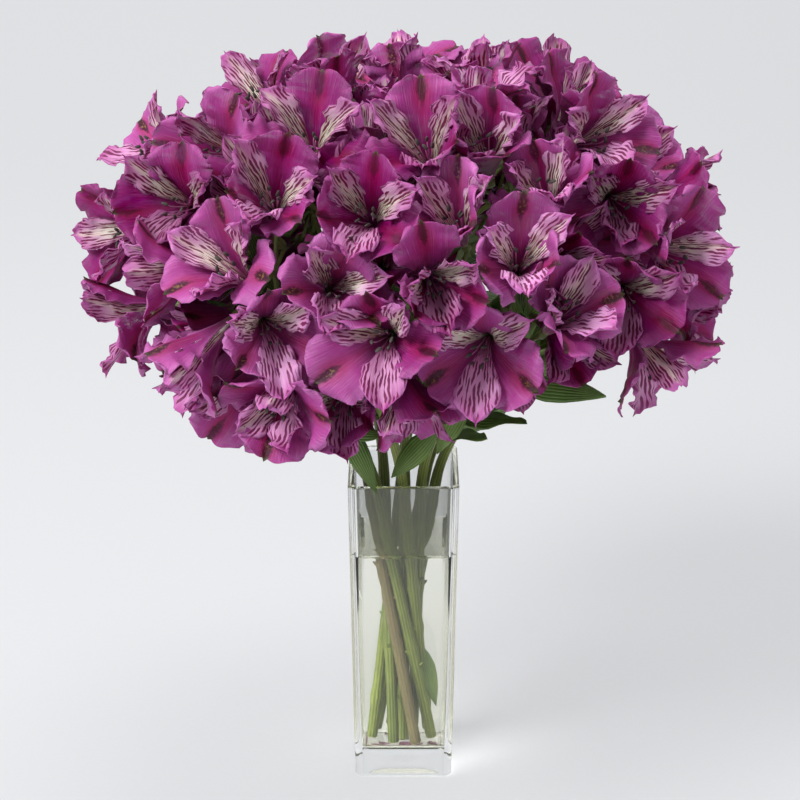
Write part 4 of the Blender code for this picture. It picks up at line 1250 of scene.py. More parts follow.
    def add_leaves(self) -> None:
        """Gives each stem its leaves, each at the first turn of a few where it is clear."""
        chance = self.chance
        obstacles: list[OwnedTree] = [(None, tree) for trees in self.trees for tree in trees]
        obstacles += [(owner, rod.tree()) for owner, rod in self.rods]
        obstacles += [(None, leaf.tree()) for stem in self.stems for leaf in stem.leaves]
        count = self.low_leaves + self.high_leaves
        for stem in self.stems:
            others = [tree for owner, tree in obstacles if owner is not stem]
            highest = stem.head.z - self.leaf_below_head
            for i in range(count):
                lifts = self.high_leaf_lifts if i >= self.low_leaves else self.low_leaf_lifts
                share = (i / (count - 1)) ** self.leaf_crowding
                for _ in range(self.leaf_tries):
                    leaf = Leaf(
                        stem,
                        height=self.leaf_lowest + (highest - self.leaf_lowest) * share,
                        length=self.leaf_length * chance.uniform(*self.leaf_lengths),
                        turn=chance.uniform(0, 2 * math.pi),
                        lift=chance.uniform(*lifts),
                        droop=chance.uniform(*self.leaf_droops),
                        half=self.leaf_half * chance.uniform(*self.leaf_halves),
                    )
                    tree = leaf.tree()
                    hangs_low = leaf.middle(1.0).z < self.leaf_tip_lowest
                    if not hangs_low and not any(tree.overlap(other) for other in others):
                        others.append(tree)
                        stem.leaves.append(leaf)
                        obstacles.append((None, tree))
                        break


# Finishes


TIMES = {"operation": "MULTIPLY"}
SOFT = {"interpolation_type": "SMOOTHSTEP"}


def linear(code: str, alpha: float = 1.0) -> tuple[float, float, float, float]:
    """Turns an sRGB hex colour to linear.

    Args:
        code: Six hex digits after a hash.
        alpha: The fourth channel.

    Returns:
        The linear colour.
    """
    channels = [int(code[i : i + 2], 16) / 255 for i in (1, 3, 5)]
    return (*[c / 12.92 if c <= 0.04045 else ((c + 0.055) / 1.055) ** 2.4 for c in channels], alpha)


class Graph:
    """The node tree of one material, with its Principled shader."""

    def __init__(self, name: str, **settings: object) -> None:
        """Starts a material and sets its shader's own sockets.

        Args:
            name: The material's name.
            settings: Socket names of the shader, with underscores for spaces, and their values.
        """
        self.material = bpy.data.materials.new(name)
        self.material.use_nodes = True
        self.tree = self.material.node_tree
        self.shader = self.tree.nodes["Principled BSDF"]
        for key, value in settings.items():
            self.shader.inputs[key.replace("_", " ")].default_value = value

    def add(
        self, kind: str, *inputs: object, out: object = 0, ramp: Sequence = (), **settings: object
    ) -> bpy.types.NodeSocket:
        """Adds a node with its settings and links.

        Args:
            kind: The node's type, without its ShaderNode prefix.
            inputs: A socket to link, a value or hex colour to set, or None to leave, in order.
            out: Which output to return.
            ramp: Places and hex colours, for a colour ramp.
            settings: The node's own properties.

        Returns:
            The chosen output socket.
        """
        made = self.tree.nodes.new("ShaderNode" + kind)
        for key, value in settings.items():
            setattr(made, key, value)
        for i, (place, code) in enumerate(ramp):
            stops = made.color_ramp.elements
            stop = stops[i] if i < 2 else stops.new(place)
            stop.position, stop.color = place, linear(code)
        for socket, value in zip(made.inputs, inputs):
            if isinstance(value, bpy.types.NodeSocket):
                self.tree.links.new(value, socket)
            elif value is not None:
                socket.default_value = linear(value) if isinstance(value, str) else value
        return made.outputs[out]

    def feed(self, **sockets: bpy.types.NodeSocket) -> bpy.types.Material:
        """Links sockets of the shader and gives the material.

        Args:
            sockets: Names of the shader's sockets, with underscores for spaces, and what feeds them.

        Returns:
            The material.
        """
        for key, value in sockets.items():
            self.tree.links.new(value, self.shader.inputs[key.replace("_", " ")])
        return self.material


@dataclass(frozen=True)
class Dashes:
    """The dark broken lines on an inner tepal: their colour, rows, and how far they reach."""

    colour: str
    rows: float
    start: float
    reach: float = 0.95
    width: float = 0.29
    # Dashes are 4 to 9 mm long, so a tepal of 50 mm holds six to eight in a row
    cells: float = 8.0
    cover: float = 0.55


@dataclass(frozen=True)
class TepalFinish:
    """Fresh petal tissue, grown thin: satin from its fine ribs, with a glow where light comes through."""

    name: str
    ground: tuple[tuple[float, str], ...]
    middle: str
    edge: str
    cream: str = ""
    cream_to: float = 0.6
    dashes: tuple[Dashes, ...] = ()
    blotch: bool = False
    # Ribs lie about a millimetre apart where the petal is widest
    ribs: float = 13.0
    pale_rib: str = "#E8B8D8"
    deep_rib: str = "#6A1048"
    # The lilac of the painted sheen patches
    painted_sheen: str = "#D48CCB"
    halo: str = "#98184E"
    streak: str = "#2E0C16"
    fleck: str = "#8E7038"
    point: str = "#38401E"
    # How dark and how light the tint makes a tepal, and how it shifts its hue
    tones: Range = (0.62, 1.40)
    hues: Range = (0.508, 0.488)

    def make(self) -> bpy.types.Material:
        """Builds the material from the petal's own place, vein and tint attributes.

        Returns:
            The material.
        """
        g = Graph(
            self.name,
            Roughness=0.44,
            IOR=1.40,
            Subsurface_Weight=0.18,
            Subsurface_Radius=(1.0, 0.30, 0.55),
            Subsurface_Scale=0.0015,
            Specular_IOR_Level=0.28,
        )
        place = g.add("Attribute", attribute_name="place", out="Vector")
        across, along, tint = (g.add("SeparateXYZ", place, out=i) for i in range(3))
        vein = g.add("Attribute", attribute_name="vein", out="Fac")
        edge = g.add("Math", across, operation="ABSOLUTE")
        objects = g.add("TexCoord", out="Object")
        soft = g.add("TexNoise", objects, None, 90.0, 2.0, 0.5)
        colour = g.add("ValToRGB", along, ramp=self.ground)
        rim = g.add("MapRange", edge, 0.55, 1.0, 0.0, 0.55, **SOFT)
        colour = g.add("MixRGB", rim, colour, self.edge)
        centre = g.add("MapRange", along, 0.22, 0.50, 0.0, 0.60, **SOFT)
        centre = g.add("MapRange", along, 1.0, 0.85, 0.0, centre, **SOFT)
        centre = g.add("MapRange", edge, 0.38, 0.0, 0.0, centre, **SOFT)
        colour = g.add("MixRGB", centre, colour, self.middle)
        if self.cream:
            reach = g.add("MapRange", along, self.cream_to, self.cream_to - 0.30, 0.0, 1.0, **SOFT)
            reach = g.add("MapRange", edge, 0.85, 0.30, 0.0, reach, **SOFT)
            colour = g.add("MixRGB", reach, colour, self.cream)
        # The ribs are streaks that run the petal's length, so their noise is drawn out along it
        ribbed = g.add("Math", vein, self.ribs, **TIMES)
        drawn = g.add("Math", along, 2.6, g.add("Math", tint, 37.0, **TIMES), operation="MULTIPLY_ADD")
        fine = g.add("TexNoise", g.add("CombineXYZ", ribbed, drawn, 0.0), None, 1.0, 2.0, 0.6)
        pale = g.add("MapRange", fine, 0.52, 0.78, 0.0, 0.22, **SOFT)
        colour = g.add("MixRGB", pale, colour, self.pale_rib)
        deep = g.add("MapRange", fine, 0.48, 0.22, 0.0, 0.30, **SOFT)
        colour = g.add("MixRGB", deep, colour, self.deep_rib)
        for dashes in self.dashes:
            colour = self.paint_dashes(g, dashes, colour, vein, along, edge, tint, soft)
        if self.blotch:
            colour = self.paint_blotch(g, colour, across, along, tint, objects)
        # Each bloom and each tepal is a little lighter, darker, redder or bluer than the next
        tone = g.add("MapRange", tint, 0.0, 1.0, *self.tones)
        hue = g.add("MapRange", tint, 0.0, 1.0, *self.hues)
        vivid = g.add("MapRange", tint, 0.0, 1.0, 1.10, 0.90)
        colour = g.add("HueSaturation", hue, vivid, tone, 1.0, colour)
        # Soft lighter lilac patches are painted sheen, laid into the colour in place of satin catching the
        # light
        patches = g.add("TexNoise", objects, None, 35.0, 3.0, 0.6)
        painted_sheen = g.add("MapRange", patches, 0.45, 0.75, 0.0, 0.10, **SOFT)
        colour = g.add("MixRGB", painted_sheen, colour, self.painted_sheen)
        # The skin is crinkled along its length, in folds of about 2 mm
        fold_across, fold_along = g.add("Math", vein, 9.0, **TIMES), g.add("Math", along, 5.0, **TIMES)
        folds = g.add("CombineXYZ", fold_across, fold_along, tint)
        crinkle = g.add("TexNoise", folds, None, 1.6, 2.0, 0.5)
        relief = g.add("Math", crinkle, 1.4, fine, operation="MULTIPLY_ADD")
        bump = g.add("Bump", 0.50, 0.0008, None, relief)
        return g.feed(Base_Color=colour, Normal=bump)

    @staticmethod
    def paint_dashes(
        g: Graph,
        dashes: Dashes,
        colour: bpy.types.NodeSocket,
        vein: bpy.types.NodeSocket,
        along: bpy.types.NodeSocket,
        edge: bpy.types.NodeSocket,
        tint: bpy.types.NodeSocket,
        soft: bpy.types.NodeSocket,
    ) -> bpy.types.NodeSocket:
        """Draws broken dark dashes that fan out along the veins.

        Args:
            g: The material's node tree.
            dashes: How the dashes look.
            colour: The colour under them.
            vein: Which vein a point is on.
            along: How far along the tepal it is.
            edge: How far it is from the midrib.
            tint: The tepal's tint, which varies the pattern too.
            soft: A slow noise that bends the rows.

        Returns:
            The colour with the dashes.
        """
        bent = g.add("Math", soft, 0.34, vein, operation="MULTIPLY_ADD")
        turned = g.add("Math", tint, 0.6, 50.0, operation="MULTIPLY_ADD")
        lines = g.add("Math", bent, dashes.rows, turned, operation="MULTIPLY_ADD")
        row = g.add("Math", lines, operation="FLOOR")
        off = g.add("Math", lines, operation="FRACT")
        off = g.add("Math", g.add("Math", off, 0.5, operation="SUBTRACT"), operation="ABSOLUTE")
        seed = g.add("Math", row, 5.37, g.add("Math", tint, 61.0, **TIMES), operation="MULTIPLY_ADD")
        spot = g.add("CombineXYZ", seed, g.add("Math", along, dashes.cells, **TIMES), 0.0)
        broken = g.add("TexNoise", spot, None, 1.0, 0.0, 0.5)
        cover = 1.0 - dashes.cover
        width = g.add("MapRange", broken, cover - 0.06, cover + 0.14, -0.10, dashes.width)
        ink = g.add("MapRange", along, dashes.start, dashes.start + 0.08, 0.0, 0.95, **SOFT)
        ink = g.add("MapRange", along, dashes.reach, dashes.reach - 0.06, 0.0, ink, **SOFT)
        ink = g.add("MapRange", edge, 1.0, 0.92, 0.0, ink, **SOFT)
        line = g.add("MapRange", g.add("Math", off, width, operation="SUBTRACT"), 0.06, -0.05, 0.0, ink)
        return g.add("MixRGB", line, colour, dashes.colour)

    def paint_blotch(
        self,
        g: Graph,
        colour: bpy.types.NodeSocket,
        across: bpy.types.NodeSocket,
        along: bpy.types.NodeSocket,
        tint: bpy.types.NodeSocket,
        objects: bpy.types.NodeSocket,
    ) -> bpy.types.NodeSocket:
        """Paints the wine red halo and the dark, speckled streak that runs to an outer tepal's point.

        Args:
            g: The material's node tree.
            colour: The colour under them.
            across: The place across the tepal.
            along: How far along the tepal a point is.
            tint: The tepal's tint, which says how strong the streak is.
            objects: The piece's own coordinates.

        Returns:
            The colour with the blotch.
        """
        edge = g.add("Math", across, operation="ABSOLUTE")
        halo = g.add("MapRange", along, 0.52, 0.80, 0.0, 0.66, **SOFT)
        halo = g.add("MapRange", edge, 0.50, 0.06, 0.0, halo, **SOFT)
        colour = g.add("MixRGB", halo, colour, self.halo)
        speck = g.add("TexNoise", objects, None, 520.0, 2.0, 0.6)
        width = g.add("MapRange", along, 0.66, 0.90, 0.02, 0.16, **SOFT)
        ragged = g.add("Math", speck, 0.16, edge, operation="MULTIPLY_ADD")
        ragged = g.add("Math", g.add("Math", ragged, 0.08, operation="SUBTRACT"), width, operation="DIVIDE")
        amount = g.add("MapRange", tint, 0.0, 0.60, 0.55, 0.95)
        streak = g.add("MapRange", along, 0.62, 0.80, 0.0, amount, **SOFT)
        streak = g.add("MapRange", ragged, 1.5, 0.5, 0.0, streak, **SOFT)
        colour = g.add("MixRGB", streak, colour, self.streak)
        flecks = g.add("MapRange", tint, 0.45, 0.75, 0.0, 0.75)
        flecks = g.add("MapRange", along, 0.97, 0.86, 0.0, flecks, **SOFT)
        flecks = g.add("MapRange", along, 0.74, 0.80, 0.0, flecks, **SOFT)
        flecks = g.add("MapRange", ragged, 1.0, 0.7, 0.0, flecks)
        flecks = g.add("MapRange", speck, 0.53, 0.62, 0.0, flecks)
        colour = g.add("MixRGB", flecks, colour, self.fleck)
        tip = g.add("MapRange", along, 0.955, 0.99, 0.0, 0.9, **SOFT)
        tip = g.add("MapRange", edge, 0.26, 0.12, 0.0, tip)
        return g.add("MixRGB", tip, colour, self.point)


OUTER_TEPAL = TepalFinish(
    name="petal_tissue_outer",
    ground=((0.0, "#A0A468"), (0.13, "#8E4268"), (0.30, "#861F66"), (0.62, "#A23082"), (1.0, "#AE4892")),
    middle="#9C1652",
    edge="#BE6CAC",
    blotch=True,
    ribs=15.0,
)
INNER_TEPAL = TepalFinish(
    name="petal_tissue_striped",
    ground=((0.0, "#3E1028"), (0.13, "#6E2E48"), (0.26, "#DCD2B0"), (0.55, "#E6BCD2"), (1.0, "#BC5CA6")),
    middle="#F0E8CC",
    edge="#C06AAC",
    cream="#FAF4E0",
    cream_to=0.76,
    dashes=(
        Dashes(colour="#8A8448", rows=8.4, start=0.12, reach=0.66, width=0.15, cells=4.0, cover=0.58),
        Dashes(colour="#6C0A40", rows=4.9, start=0.17, width=0.31, cells=6.5, cover=0.58),
    ),
    ribs=11.0,
)
LOWER_TEPAL = TepalFinish(
    name="petal_tissue_lower",
    ground=((0.0, "#3E1028"), (0.14, "#8E3668"), (0.34, "#CC82B2"), (0.70, "#DC9CC8"), (1.0, "#B04692")),
    middle="#DEA6CE",
    edge="#BC64AA",
    dashes=(Dashes(colour="#680A40", rows=5.2, start=0.24, reach=1.0, cells=6.5, cover=0.60),),
    ribs=12.0,
)


@dataclass(frozen=True)
class GreenFinish:
    """Living green tissue, grown with a waxy skin: low gloss, and fine lines along it that are paler."""

    name: str
    dark: str
    light: str
    vein: str
    lines: float = 22.0
    roughness: float = 0.40
    patch: float = 40.0
    blush: str = ""
    cut: str = ""

    def make(self) -> bpy.types.Material:
        """Builds the material from the piece's own place attribute.

        Returns:
            The material.
        """
        g = Graph(
            self.name,
            Roughness=self.roughness,
            IOR=1.42,
            Subsurface_Weight=0.10,
            Subsurface_Radius=(0.4, 1.0, 0.2),
            Subsurface_Scale=0.001,
        )
        place = g.add("Attribute", attribute_name="place", out="Vector")
        across, along, tint = (g.add("SeparateXYZ", place, out=i) for i in range(3))
        objects = g.add("TexCoord", out="Object")
        patches = g.add("TexNoise", objects, None, self.patch, 3.0, 0.6)
        uneven = g.add("MapRange", patches, 0.3, 0.7, 0.0, 0.45, **SOFT)
        shade = g.add("Math", tint, 0.55, uneven, operation="MULTIPLY_ADD")
        colour = g.add("MixRGB", shade, self.dark, self.light)
        wavy = g.add("Math", patches, 0.04, across, operation="MULTIPLY_ADD")
        fine = g.add("Math", g.add("Math", wavy, self.lines, **TIMES), operation="SINE")
        paler = g.add("MapRange", fine, 0.2, 1.0, 0.0, 0.42, **SOFT)
        colour = g.add("MixRGB", paler, colour, self.vein)
        if self.blush:
            colour = g.add("MixRGB", g.add("MapRange", tint, 0.92, 1.0, 0.0, 0.75), colour, self.blush)
        if self.cut:
            colour = g.add("MixRGB", g.add("MapRange", along, 0.0, -0.2), colour, self.cut)
        bump = g.add("Bump", 0.45, 0.0005, None, g.add("Math", fine, -0.5, patches, operation="MULTIPLY_ADD"))
        return g.feed(Base_Color=colour, Normal=bump)


LEAF = GreenFinish("leaf_blade", dark="#2F5212", light="#7C9850", vein="#AEC07E", lines=9.0)
STEM = GreenFinish(
    "stem_skin",
    dark="#53652A",
    light="#828F3E",
    vein="#AEB274",
    lines=12.0,
    patch=25.0,
    blush="#806C56",
    cut="#C8C68E",
)
OVARY = GreenFinish("ovary_skin", dark="#5C7434", light="#8FA054", vein="#B4BE86", lines=18.0)


@dataclass(frozen=True)
class StamenFinish:
    """A thin filament that fades from pink to pale green, or the dull, powdery skin of an anther."""

    name: str
    low: str
    high: str
    roughness: float
    dust: str = "#86847A"

    def make(self) -> bpy.types.Material:
        """Builds the material from the piece's own place attribute.

        Returns:
            The material.
        """
        g = Graph(self.name, Roughness=self.roughness, IOR=1.40)
        place = g.add("Attribute", attribute_name="place", out="Vector")
        along = g.add("SeparateXYZ", place, out=1)
        objects = g.add("TexCoord", out="Object")
        # Pollen grains are drawn at about 0.4 mm, coarse enough to show
        grain = g.add("TexNoise", objects, None, 2400.0, 1.0, 0.5)
        colour = g.add("ValToRGB", along, ramp=((0.0, self.low), (1.0, self.high)))
        dusty = g.add("MapRange", grain, 0.4, 0.7, 0.0, 0.18, **SOFT)
        colour = g.add("MixRGB", dusty, colour, self.dust)
        bump = g.add("Bump", 0.3, 0.0002, None, grain)
        return g.feed(Base_Color=colour, Normal=bump)


FILAMENT = StamenFinish("filament_tissue", low="#8A2C66", high="#D9A0C4", roughness=0.4)
ANTHER = StamenFinish("anther_skin", low="#302F2E", high="#504E46", roughness=0.75)


@dataclass(frozen=True)
class GlassFinish:
    """Pressed soda-lime glass: clear, a little grey-green in its thickness, slightly wavy."""

    name: str = "pressed_glass"
    thick: str = "#F7FAF8"
    thin: str = "#FFFFFF"

    def make(self) -> bpy.types.Material:
        """Builds the material, with slow waves from pressing on Object coordinates.

        Returns:
            The material.
        """
        g = Graph(self.name, Roughness=0.0, IOR=1.52, Transmission_Weight=1.0)
        objects = g.add("TexCoord", out="Object")
        waves = g.add("TexNoise", objects, None, 30.0, 1.0, 0.4)
        colour = g.add("MixRGB", waves, self.thick, self.thin)
        bump = g.add("Bump", 0.03, 0.002, None, waves)
        return g.feed(Base_Color=colour, Normal=bump)


@dataclass(frozen=True)
class WaterFinish:
    """Vase water that stood for a day or two: clear, with a little yellow drawn from the stems."""

    name: str = "vase_water"
    low: str = "#F9F8EA"
    high: str = "#FCFBF1"
    heights: Range = (0.02, 0.17)

    def make(self) -> bpy.types.Material:
        """Builds the material, clearer towards its surface.

        Returns:
            The material.
        """
        g = Graph(self.name, Roughness=0.0, IOR=1.333, Transmission_Weight=1.0)
        objects = g.add("TexCoord", out="Object")
        height = g.add("SeparateXYZ", objects, out=2)
        depth = g.add("MapRange", height, *self.heights, **SOFT)
        colour = g.add("MixRGB", depth, self.low, self.high)
        ripple = g.add("TexNoise", objects, None, 60.0, 1.0, 0.4)
        bump = g.add("Bump", 0.02, 0.001, None, ripple)
        return g.feed(Base_Color=colour, Normal=bump)


@dataclass(frozen=True)
class ShadeVeilFinish:
    """A thin veil of painted shade inside the dry glass above the water: it greys what lies behind it,
    unevenly.
    """

    name: str = "damp_film"
    dark: str = "#4E5626"
    light: str = "#6E7440"
    veil: float = 0.32
    uneven: float = 0.06
    # The painted shade is thinner on the back wall, where light falls through it
    back_wall: Range = (0.020, 0.030)
    back_share: float = 0.25

    def make(self) -> bpy.types.Material:
        """Builds the material, with slow vertical streaks of noise on Object coordinates.

        Returns:
            The material.
        """
        g = Graph(self.name, Roughness=0.35, IOR=1.33)
        objects = g.add("TexCoord", out="Object")
        veil_coords = g.add("Mapping", objects, None, None, (120.0, 120.0, 16.0))
        streaks = g.add("TexNoise", veil_coords, None, 1.0, 2.0, 0.6)
        # The grey-green colour and its cover are painted shade, streaked unevenly
        colour = g.add("MixRGB", streaks, self.dark, self.light)
        cover = g.add("MapRange", streaks, 0.3, 0.7, self.veil - self.uneven, self.veil + self.uneven)
        depth = g.add("SeparateXYZ", objects, out=1)
        back = g.add("MapRange", depth, *self.back_wall, 1.0, self.back_share)
        return g.feed(Base_Color=colour, Alpha=g.add("Math", cover, back, **TIMES))


@dataclass(frozen=True)
class BackdropFinish:
    """Matt background paper, calendered: almost white, with the faint tooth of its surface."""

    name: str = "background_paper"
    dark: str = "#9C9D9F"
    light: str = "#A2A3A4"
    glow: float = 0.43
    glow_colour: str = "#FBFCFF"

    def make(self) -> bpy.types.Material:
        """Builds the material on Object coordinates, a little self-lit so that its shadows stay soft.

        Returns:
            The material.
        """
        g = Graph(
            self.name,
            Roughness=0.95,
            IOR=1.45,
            Emission_Color=linear(self.glow_colour),
            Emission_Strength=self.glow,
        )
        objects = g.add("TexCoord", out="Object")
        tooth = g.add("TexNoise", objects, None, 400.0, 2.0, 0.6)
        colour = g.add("MixRGB", tooth, self.dark, self.light)
        bump = g.add("Bump", 0.05, 0.0003, None, tooth)
        return g.feed(Base_Color=colour, Normal=bump)


# Fine pieces


class Sculpt:
    """A mesh that grows from small bmesh parts and becomes one finished piece."""

    triangles = 0

    def __init__(self) -> None:
        """Starts empty, with the attributes that the finishes read."""
        self.whole = self.fresh()

    @staticmethod
    def fresh() -> bmesh.types.BMesh:
        """Gives an empty bmesh with the place and vein attributes.

        Returns:
            The bmesh.
        """
        bm = bmesh.new()
        bm.verts.layers.float_vector.new("place")
        bm.verts.layers.float.new("vein")
        return bm

    def take(self, bm: bmesh.types.BMesh, material: int = 0, flat_over: float = math.inf) -> None:
        """Adds a finished part to the whole and frees it.

        Args:
            bm: The part.
            material: The index of its finish on the piece.
            flat_over: The area in square metres over which a face is left flat.
        """
        for face in bm.faces:
            face.smooth = face.calc_area() < flat_over
            face.material_index = material
        holder = bpy.data.meshes.new("part")
        bm.to_mesh(holder)
        bm.free()
        self.whole.from_mesh(holder)
        bpy.data.meshes.remove(holder)

    def piece(
        self, name: str, materials: Sequence[bpy.types.Material], slot: str, *nodes: str
    ) -> bpy.types.Object:
        """Makes the piece, rides it on the frame and says which nodes it stands for.

        Args:
            name: The piece's name.
            materials: Its finishes, in the order of their indices.
            slot: A material slot of the frame; not used.
            nodes: The nodes that it stands for, if any.

        Returns:
            The piece.
        """
        mesh = bpy.data.meshes.new(name)
        self.whole.to_mesh(mesh)
        self.whole.free()
        for material in materials:
            mesh.materials.append(material)
        made = bpy.data.objects.new(name, mesh)
        bpy.context.scene.collection.objects.link(made)
        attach(made, "root")
        if nodes:
            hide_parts(*nodes)
        mesh.calc_loop_triangles()
        Sculpt.triangles += len(mesh.loop_triangles)
        LOG.info("%s: %d triangles", name, len(mesh.loop_triangles))
        return made


def swept(
    rings: Sequence[Sequence[Vector]],
    closed_ends: bool = True,
    tint: float = 0.5,
    shares: Sequence[float] | None = None,
) -> bmesh.types.BMesh:
    """Extrudes a loop of points from ring to ring and closes the ends.

    Args:
        rings: The loops, all with the same number of points.
        closed_ends: Whether the two ends are capped.
        tint: The tint that the finish reads.
        shares: How far along each ring counts, from 0 to 1.

    Returns:
        The closed body.
    """
    bm = Sculpt.fresh()
    place = bm.verts.layers.float_vector["place"]
    count = len(rings[0])
    loop = bmesh.ops.create_circle(bm, segments=count, radius=1.0)["verts"]
    edges = list(bm.edges)
    first = edges
    for i, ring in enumerate(rings):
        if i:
            grown = bmesh.ops.extrude_edge_only(bm, edges=edges)["geom"]
            fresh = {g for g in grown if isinstance(g, bmesh.types.BMVert)}
            edges = [g for g in grown if isinstance(g, bmesh.types.BMEdge)]
            loop = [next(e.other_vert(v) for e in v.link_edges if e.other_vert(v) in fresh) for v in loop]
        share = shares[i] if shares else i / max(1, len(rings) - 1)
        for k, (vert, point) in enumerate(zip(loop, ring)):
            vert.co = point
            # The place runs there and back round the tube, so that it has no seam
            vert[place] = (abs(2.0 * k / count - 1.0) * math.pi, share, tint)
    if closed_ends:
        bmesh.ops.contextual_create(bm, geom=first)
        bmesh.ops.contextual_create(bm, geom=edges)
    bmesh.ops.recalc_face_normals(bm, faces=bm.faces)
    return bm


def round_rings(
    points: Sequence[Vector], radii: Sequence[float], sides: int, start: Vector | None = None
) -> list[list[Vector]]:
    """Gives the rings of a round tube that doesn't twist along its points.

    Args:
        points: The middle line.
        radii: The radius at each point.
        sides: How many points a ring has.
        start: The direction of the first ring's first point, or None for any.

    Returns:
        The rings.
    """
    rings = []
    side = start
    for i, point in enumerate(points):
        way = (points[min(i + 1, len(points) - 1)] - points[max(i - 1, 0)]).normalized()
        side = way.orthogonal() if side is None else side - way * side.dot(way)
        side.normalize()
        other = way.cross(side)
        turns = [2 * math.pi * k / sides for k in range(sides)]
        rings.append([point + (side * math.cos(t) + other * math.sin(t)) * radii[i] for t in turns])
    return rings


@dataclass(frozen=True)
class Whims:
    """What chance decides about one tepal, in the order in which it is drawn."""

    sag: float
    stretch: float
    breadth: float
    cupping: float
    twist: float
    sway: float
    waves: np.ndarray
    phases: np.ndarray
    ruffle: float
    notches: np.ndarray
    tip_curl: float
    pleats: float


@dataclass(frozen=True)
class PetalSkin:
    """The fine form of a tepal: rounded lobes, a point between them, a rib and a ruffled edge."""

    # Lengths are in metres and angles in degrees; sway and notch are shares of the tepal's own size
    form: TepalForm
    columns: int = 14
    rows: int = 24
    thickness: float = 0.0005
    ruffle: float = 0.0022
    pleat: float = 0.0006
    notch: float = 0.045
    breadth: Range = (1.02, 1.24)
    sag: float = 9.0
    stretch: Range = (0.93, 1.07)
    keel: float = 0.0012
    twist: float = 19.0
    sway: float = 0.060
    curl: Range = (-0.004, 0.006)
    cupping: Range = (0.75, 1.50)
    waves: Range = (3.2, 5.6)
    ruffling: Range = (0.6, 1.5)
    pleats: Range = (6.0, 9.0)
    rib_steps: int = 24
    row_crowding: float = 1.2
    # Where along the tepal, or out towards its edge, each of these sets in and is full
    tip_span: Range = (0.80, 1.0)
    twist_span: Range = (0.3, 1.0)
    notch_edge: Range = (0.7, 1.0)
    notch_span: Range = (0.4, 0.6)
    keel_span: Range = (0.35, 0.7)
    ruffle_span: Range = (0.35, 0.6)
    curl_span: Range = (0.72, 1.0)
    pleat_span: Range = (0.2, 0.55)
    cup_power: float = 1.6
    flare: float = 0.45
    flare_power: float = 5
    keel_slope: float = 5
    ruffle_power: float = 2.5
    wave_turn: float = 6.28
    overtone: float = 0.45
    overtone_pitch: float = 2.3
    # How far the rounded lobes and the point between them stand out, as shares of the length
    lobe: float = 0.035
    outer_point: float = 0.050
    inner_point: float = 0.040
    point_half: float = 0.05
    tip_start: float = 0.03
    # Veins fan out from the claw, and an outer tepal has about twice as many
    vein_base: float = 0.30
    outer_veins: float = 1.9
    outer_marks: Marks = (
        (0, 0.10), (0.2, 0.17), (0.34, 0.33), (0.45, 0.55), (0.56, 0.80), (0.66, 0.95),
        (0.76, 1.0), (0.86, 0.94), (0.94, 0.74), (1, 0.46),
    )
    inner_marks: Marks = (
        (0, 0.12), (0.22, 0.22), (0.38, 0.40), (0.52, 0.68), (0.64, 0.90), (0.75, 1.0),
        (0.85, 0.92), (0.93, 0.66), (1, 0.30),
    )

    def grow(self, bloom: Bloom, index: int, tint: float, chance: np.random.Generator) -> bmesh.types.BMesh:
        """Grows one tepal as a thin closed skin.

        Args:
            bloom: The bloom that it belongs to.
            index: Its place in the bloom.
            tint: The tint that its finish reads.
            chance: The source of its small irregularities.

        Returns:
            The tepal.
        """
        kind, form = TEPALS[index][0], self.form
        whims = self.draw(kind, chance)
        opening = bloom.openings[index] + whims.sag
        points, normals, sideways = form.rib(bloom, index, opening, steps=self.rib_steps)
        length = form.length(bloom, index)
        half = form.share_of_length(kind) * length * bloom.slimness[index] * whims.breadth
        cup = form.cup(kind, opening) * whims.cupping
        marks = self.outer_marks if kind is Kind.OUTER else self.inner_marks
        vein_spread = self.outer_veins if kind is Kind.OUTER else 1.0
        bm = Sculpt.fresh()
        place, vein = bm.verts.layers.float_vector["place"], bm.verts.layers.float["vein"]
        grid = bmesh.ops.create_grid(bm, x_segments=self.columns, y_segments=self.rows, size=1.0)
        for vert in grid["verts"]:
            across = vert.co.x
            row = round((vert.co.y + 1) / 2 * self.rows)
            share = 1 - (1 - row / self.rows) ** self.row_crowding
            width = profile(marks, share)
            reach = share * whims.stretch + self.tip_reach(kind, across) * smooth(*self.tip_span, share)
            middle = form.along(points, min(1.0, reach))
            if reach > 1:
                middle = middle + (points[-1] - points[-2]).normalized() * ((reach - 1) * length)
            normal = form.along(normals, share).normalized()
            twist = whims.twist * smooth(*self.twist_span, share)
            twisting = Matrix.Rotation(twist, 3, normal.cross(sideways))
            notch = whims.notches[int(across > 0)][row] * smooth(*self.notch_edge, abs(across))
            notch *= smooth(*self.notch_span, share)
            out = twisting @ sideways * (across * half * width * (1 + notch))
            curl = twisting @ normal * self.curling(whims, across, share, cup * half * width)
            sway = whims.sway * length * share * share
            vert.co = middle + out - curl + sideways * sway
            vert[place] = (across, share, tint)
            vert[vein] = across * width / (self.vein_base + (1 - self.vein_base) * share) * vein_spread
        bmesh.ops.solidify(bm, geom=bm.faces[:], thickness=self.thickness)
        bmesh.ops.recalc_face_normals(bm, faces=bm.faces)
        return bm

    def draw(self, kind: Kind, chance: np.random.Generator) -> Whims:
        """Draws what chance decides about a tepal.

        Args:
            kind: The sort of tepal.
            chance: The source of the small irregularities.

        Returns:
            The drawn values.
        """
        return Whims(
            sag=chance.uniform(-self.sag, self.sag),
            stretch=chance.uniform(*self.stretch),
            breadth=chance.uniform(*self.breadth) if kind is Kind.OUTER else 1.0,
            cupping=chance.uniform(*self.cupping),
            twist=math.radians(chance.uniform(-self.twist, self.twist)),
            sway=chance.uniform(-self.sway, self.sway),
            waves=chance.uniform(*self.waves, 2),
            phases=chance.uniform(0, 2 * math.pi, 2),
            ruffle=self.ruffle * chance.uniform(*self.ruffling),
            notches=chance.uniform(-self.notch, self.notch, (2, self.rows + 1)),
            tip_curl=chance.uniform(*self.curl),
            pleats=chance.uniform(*self.pleats),
        )

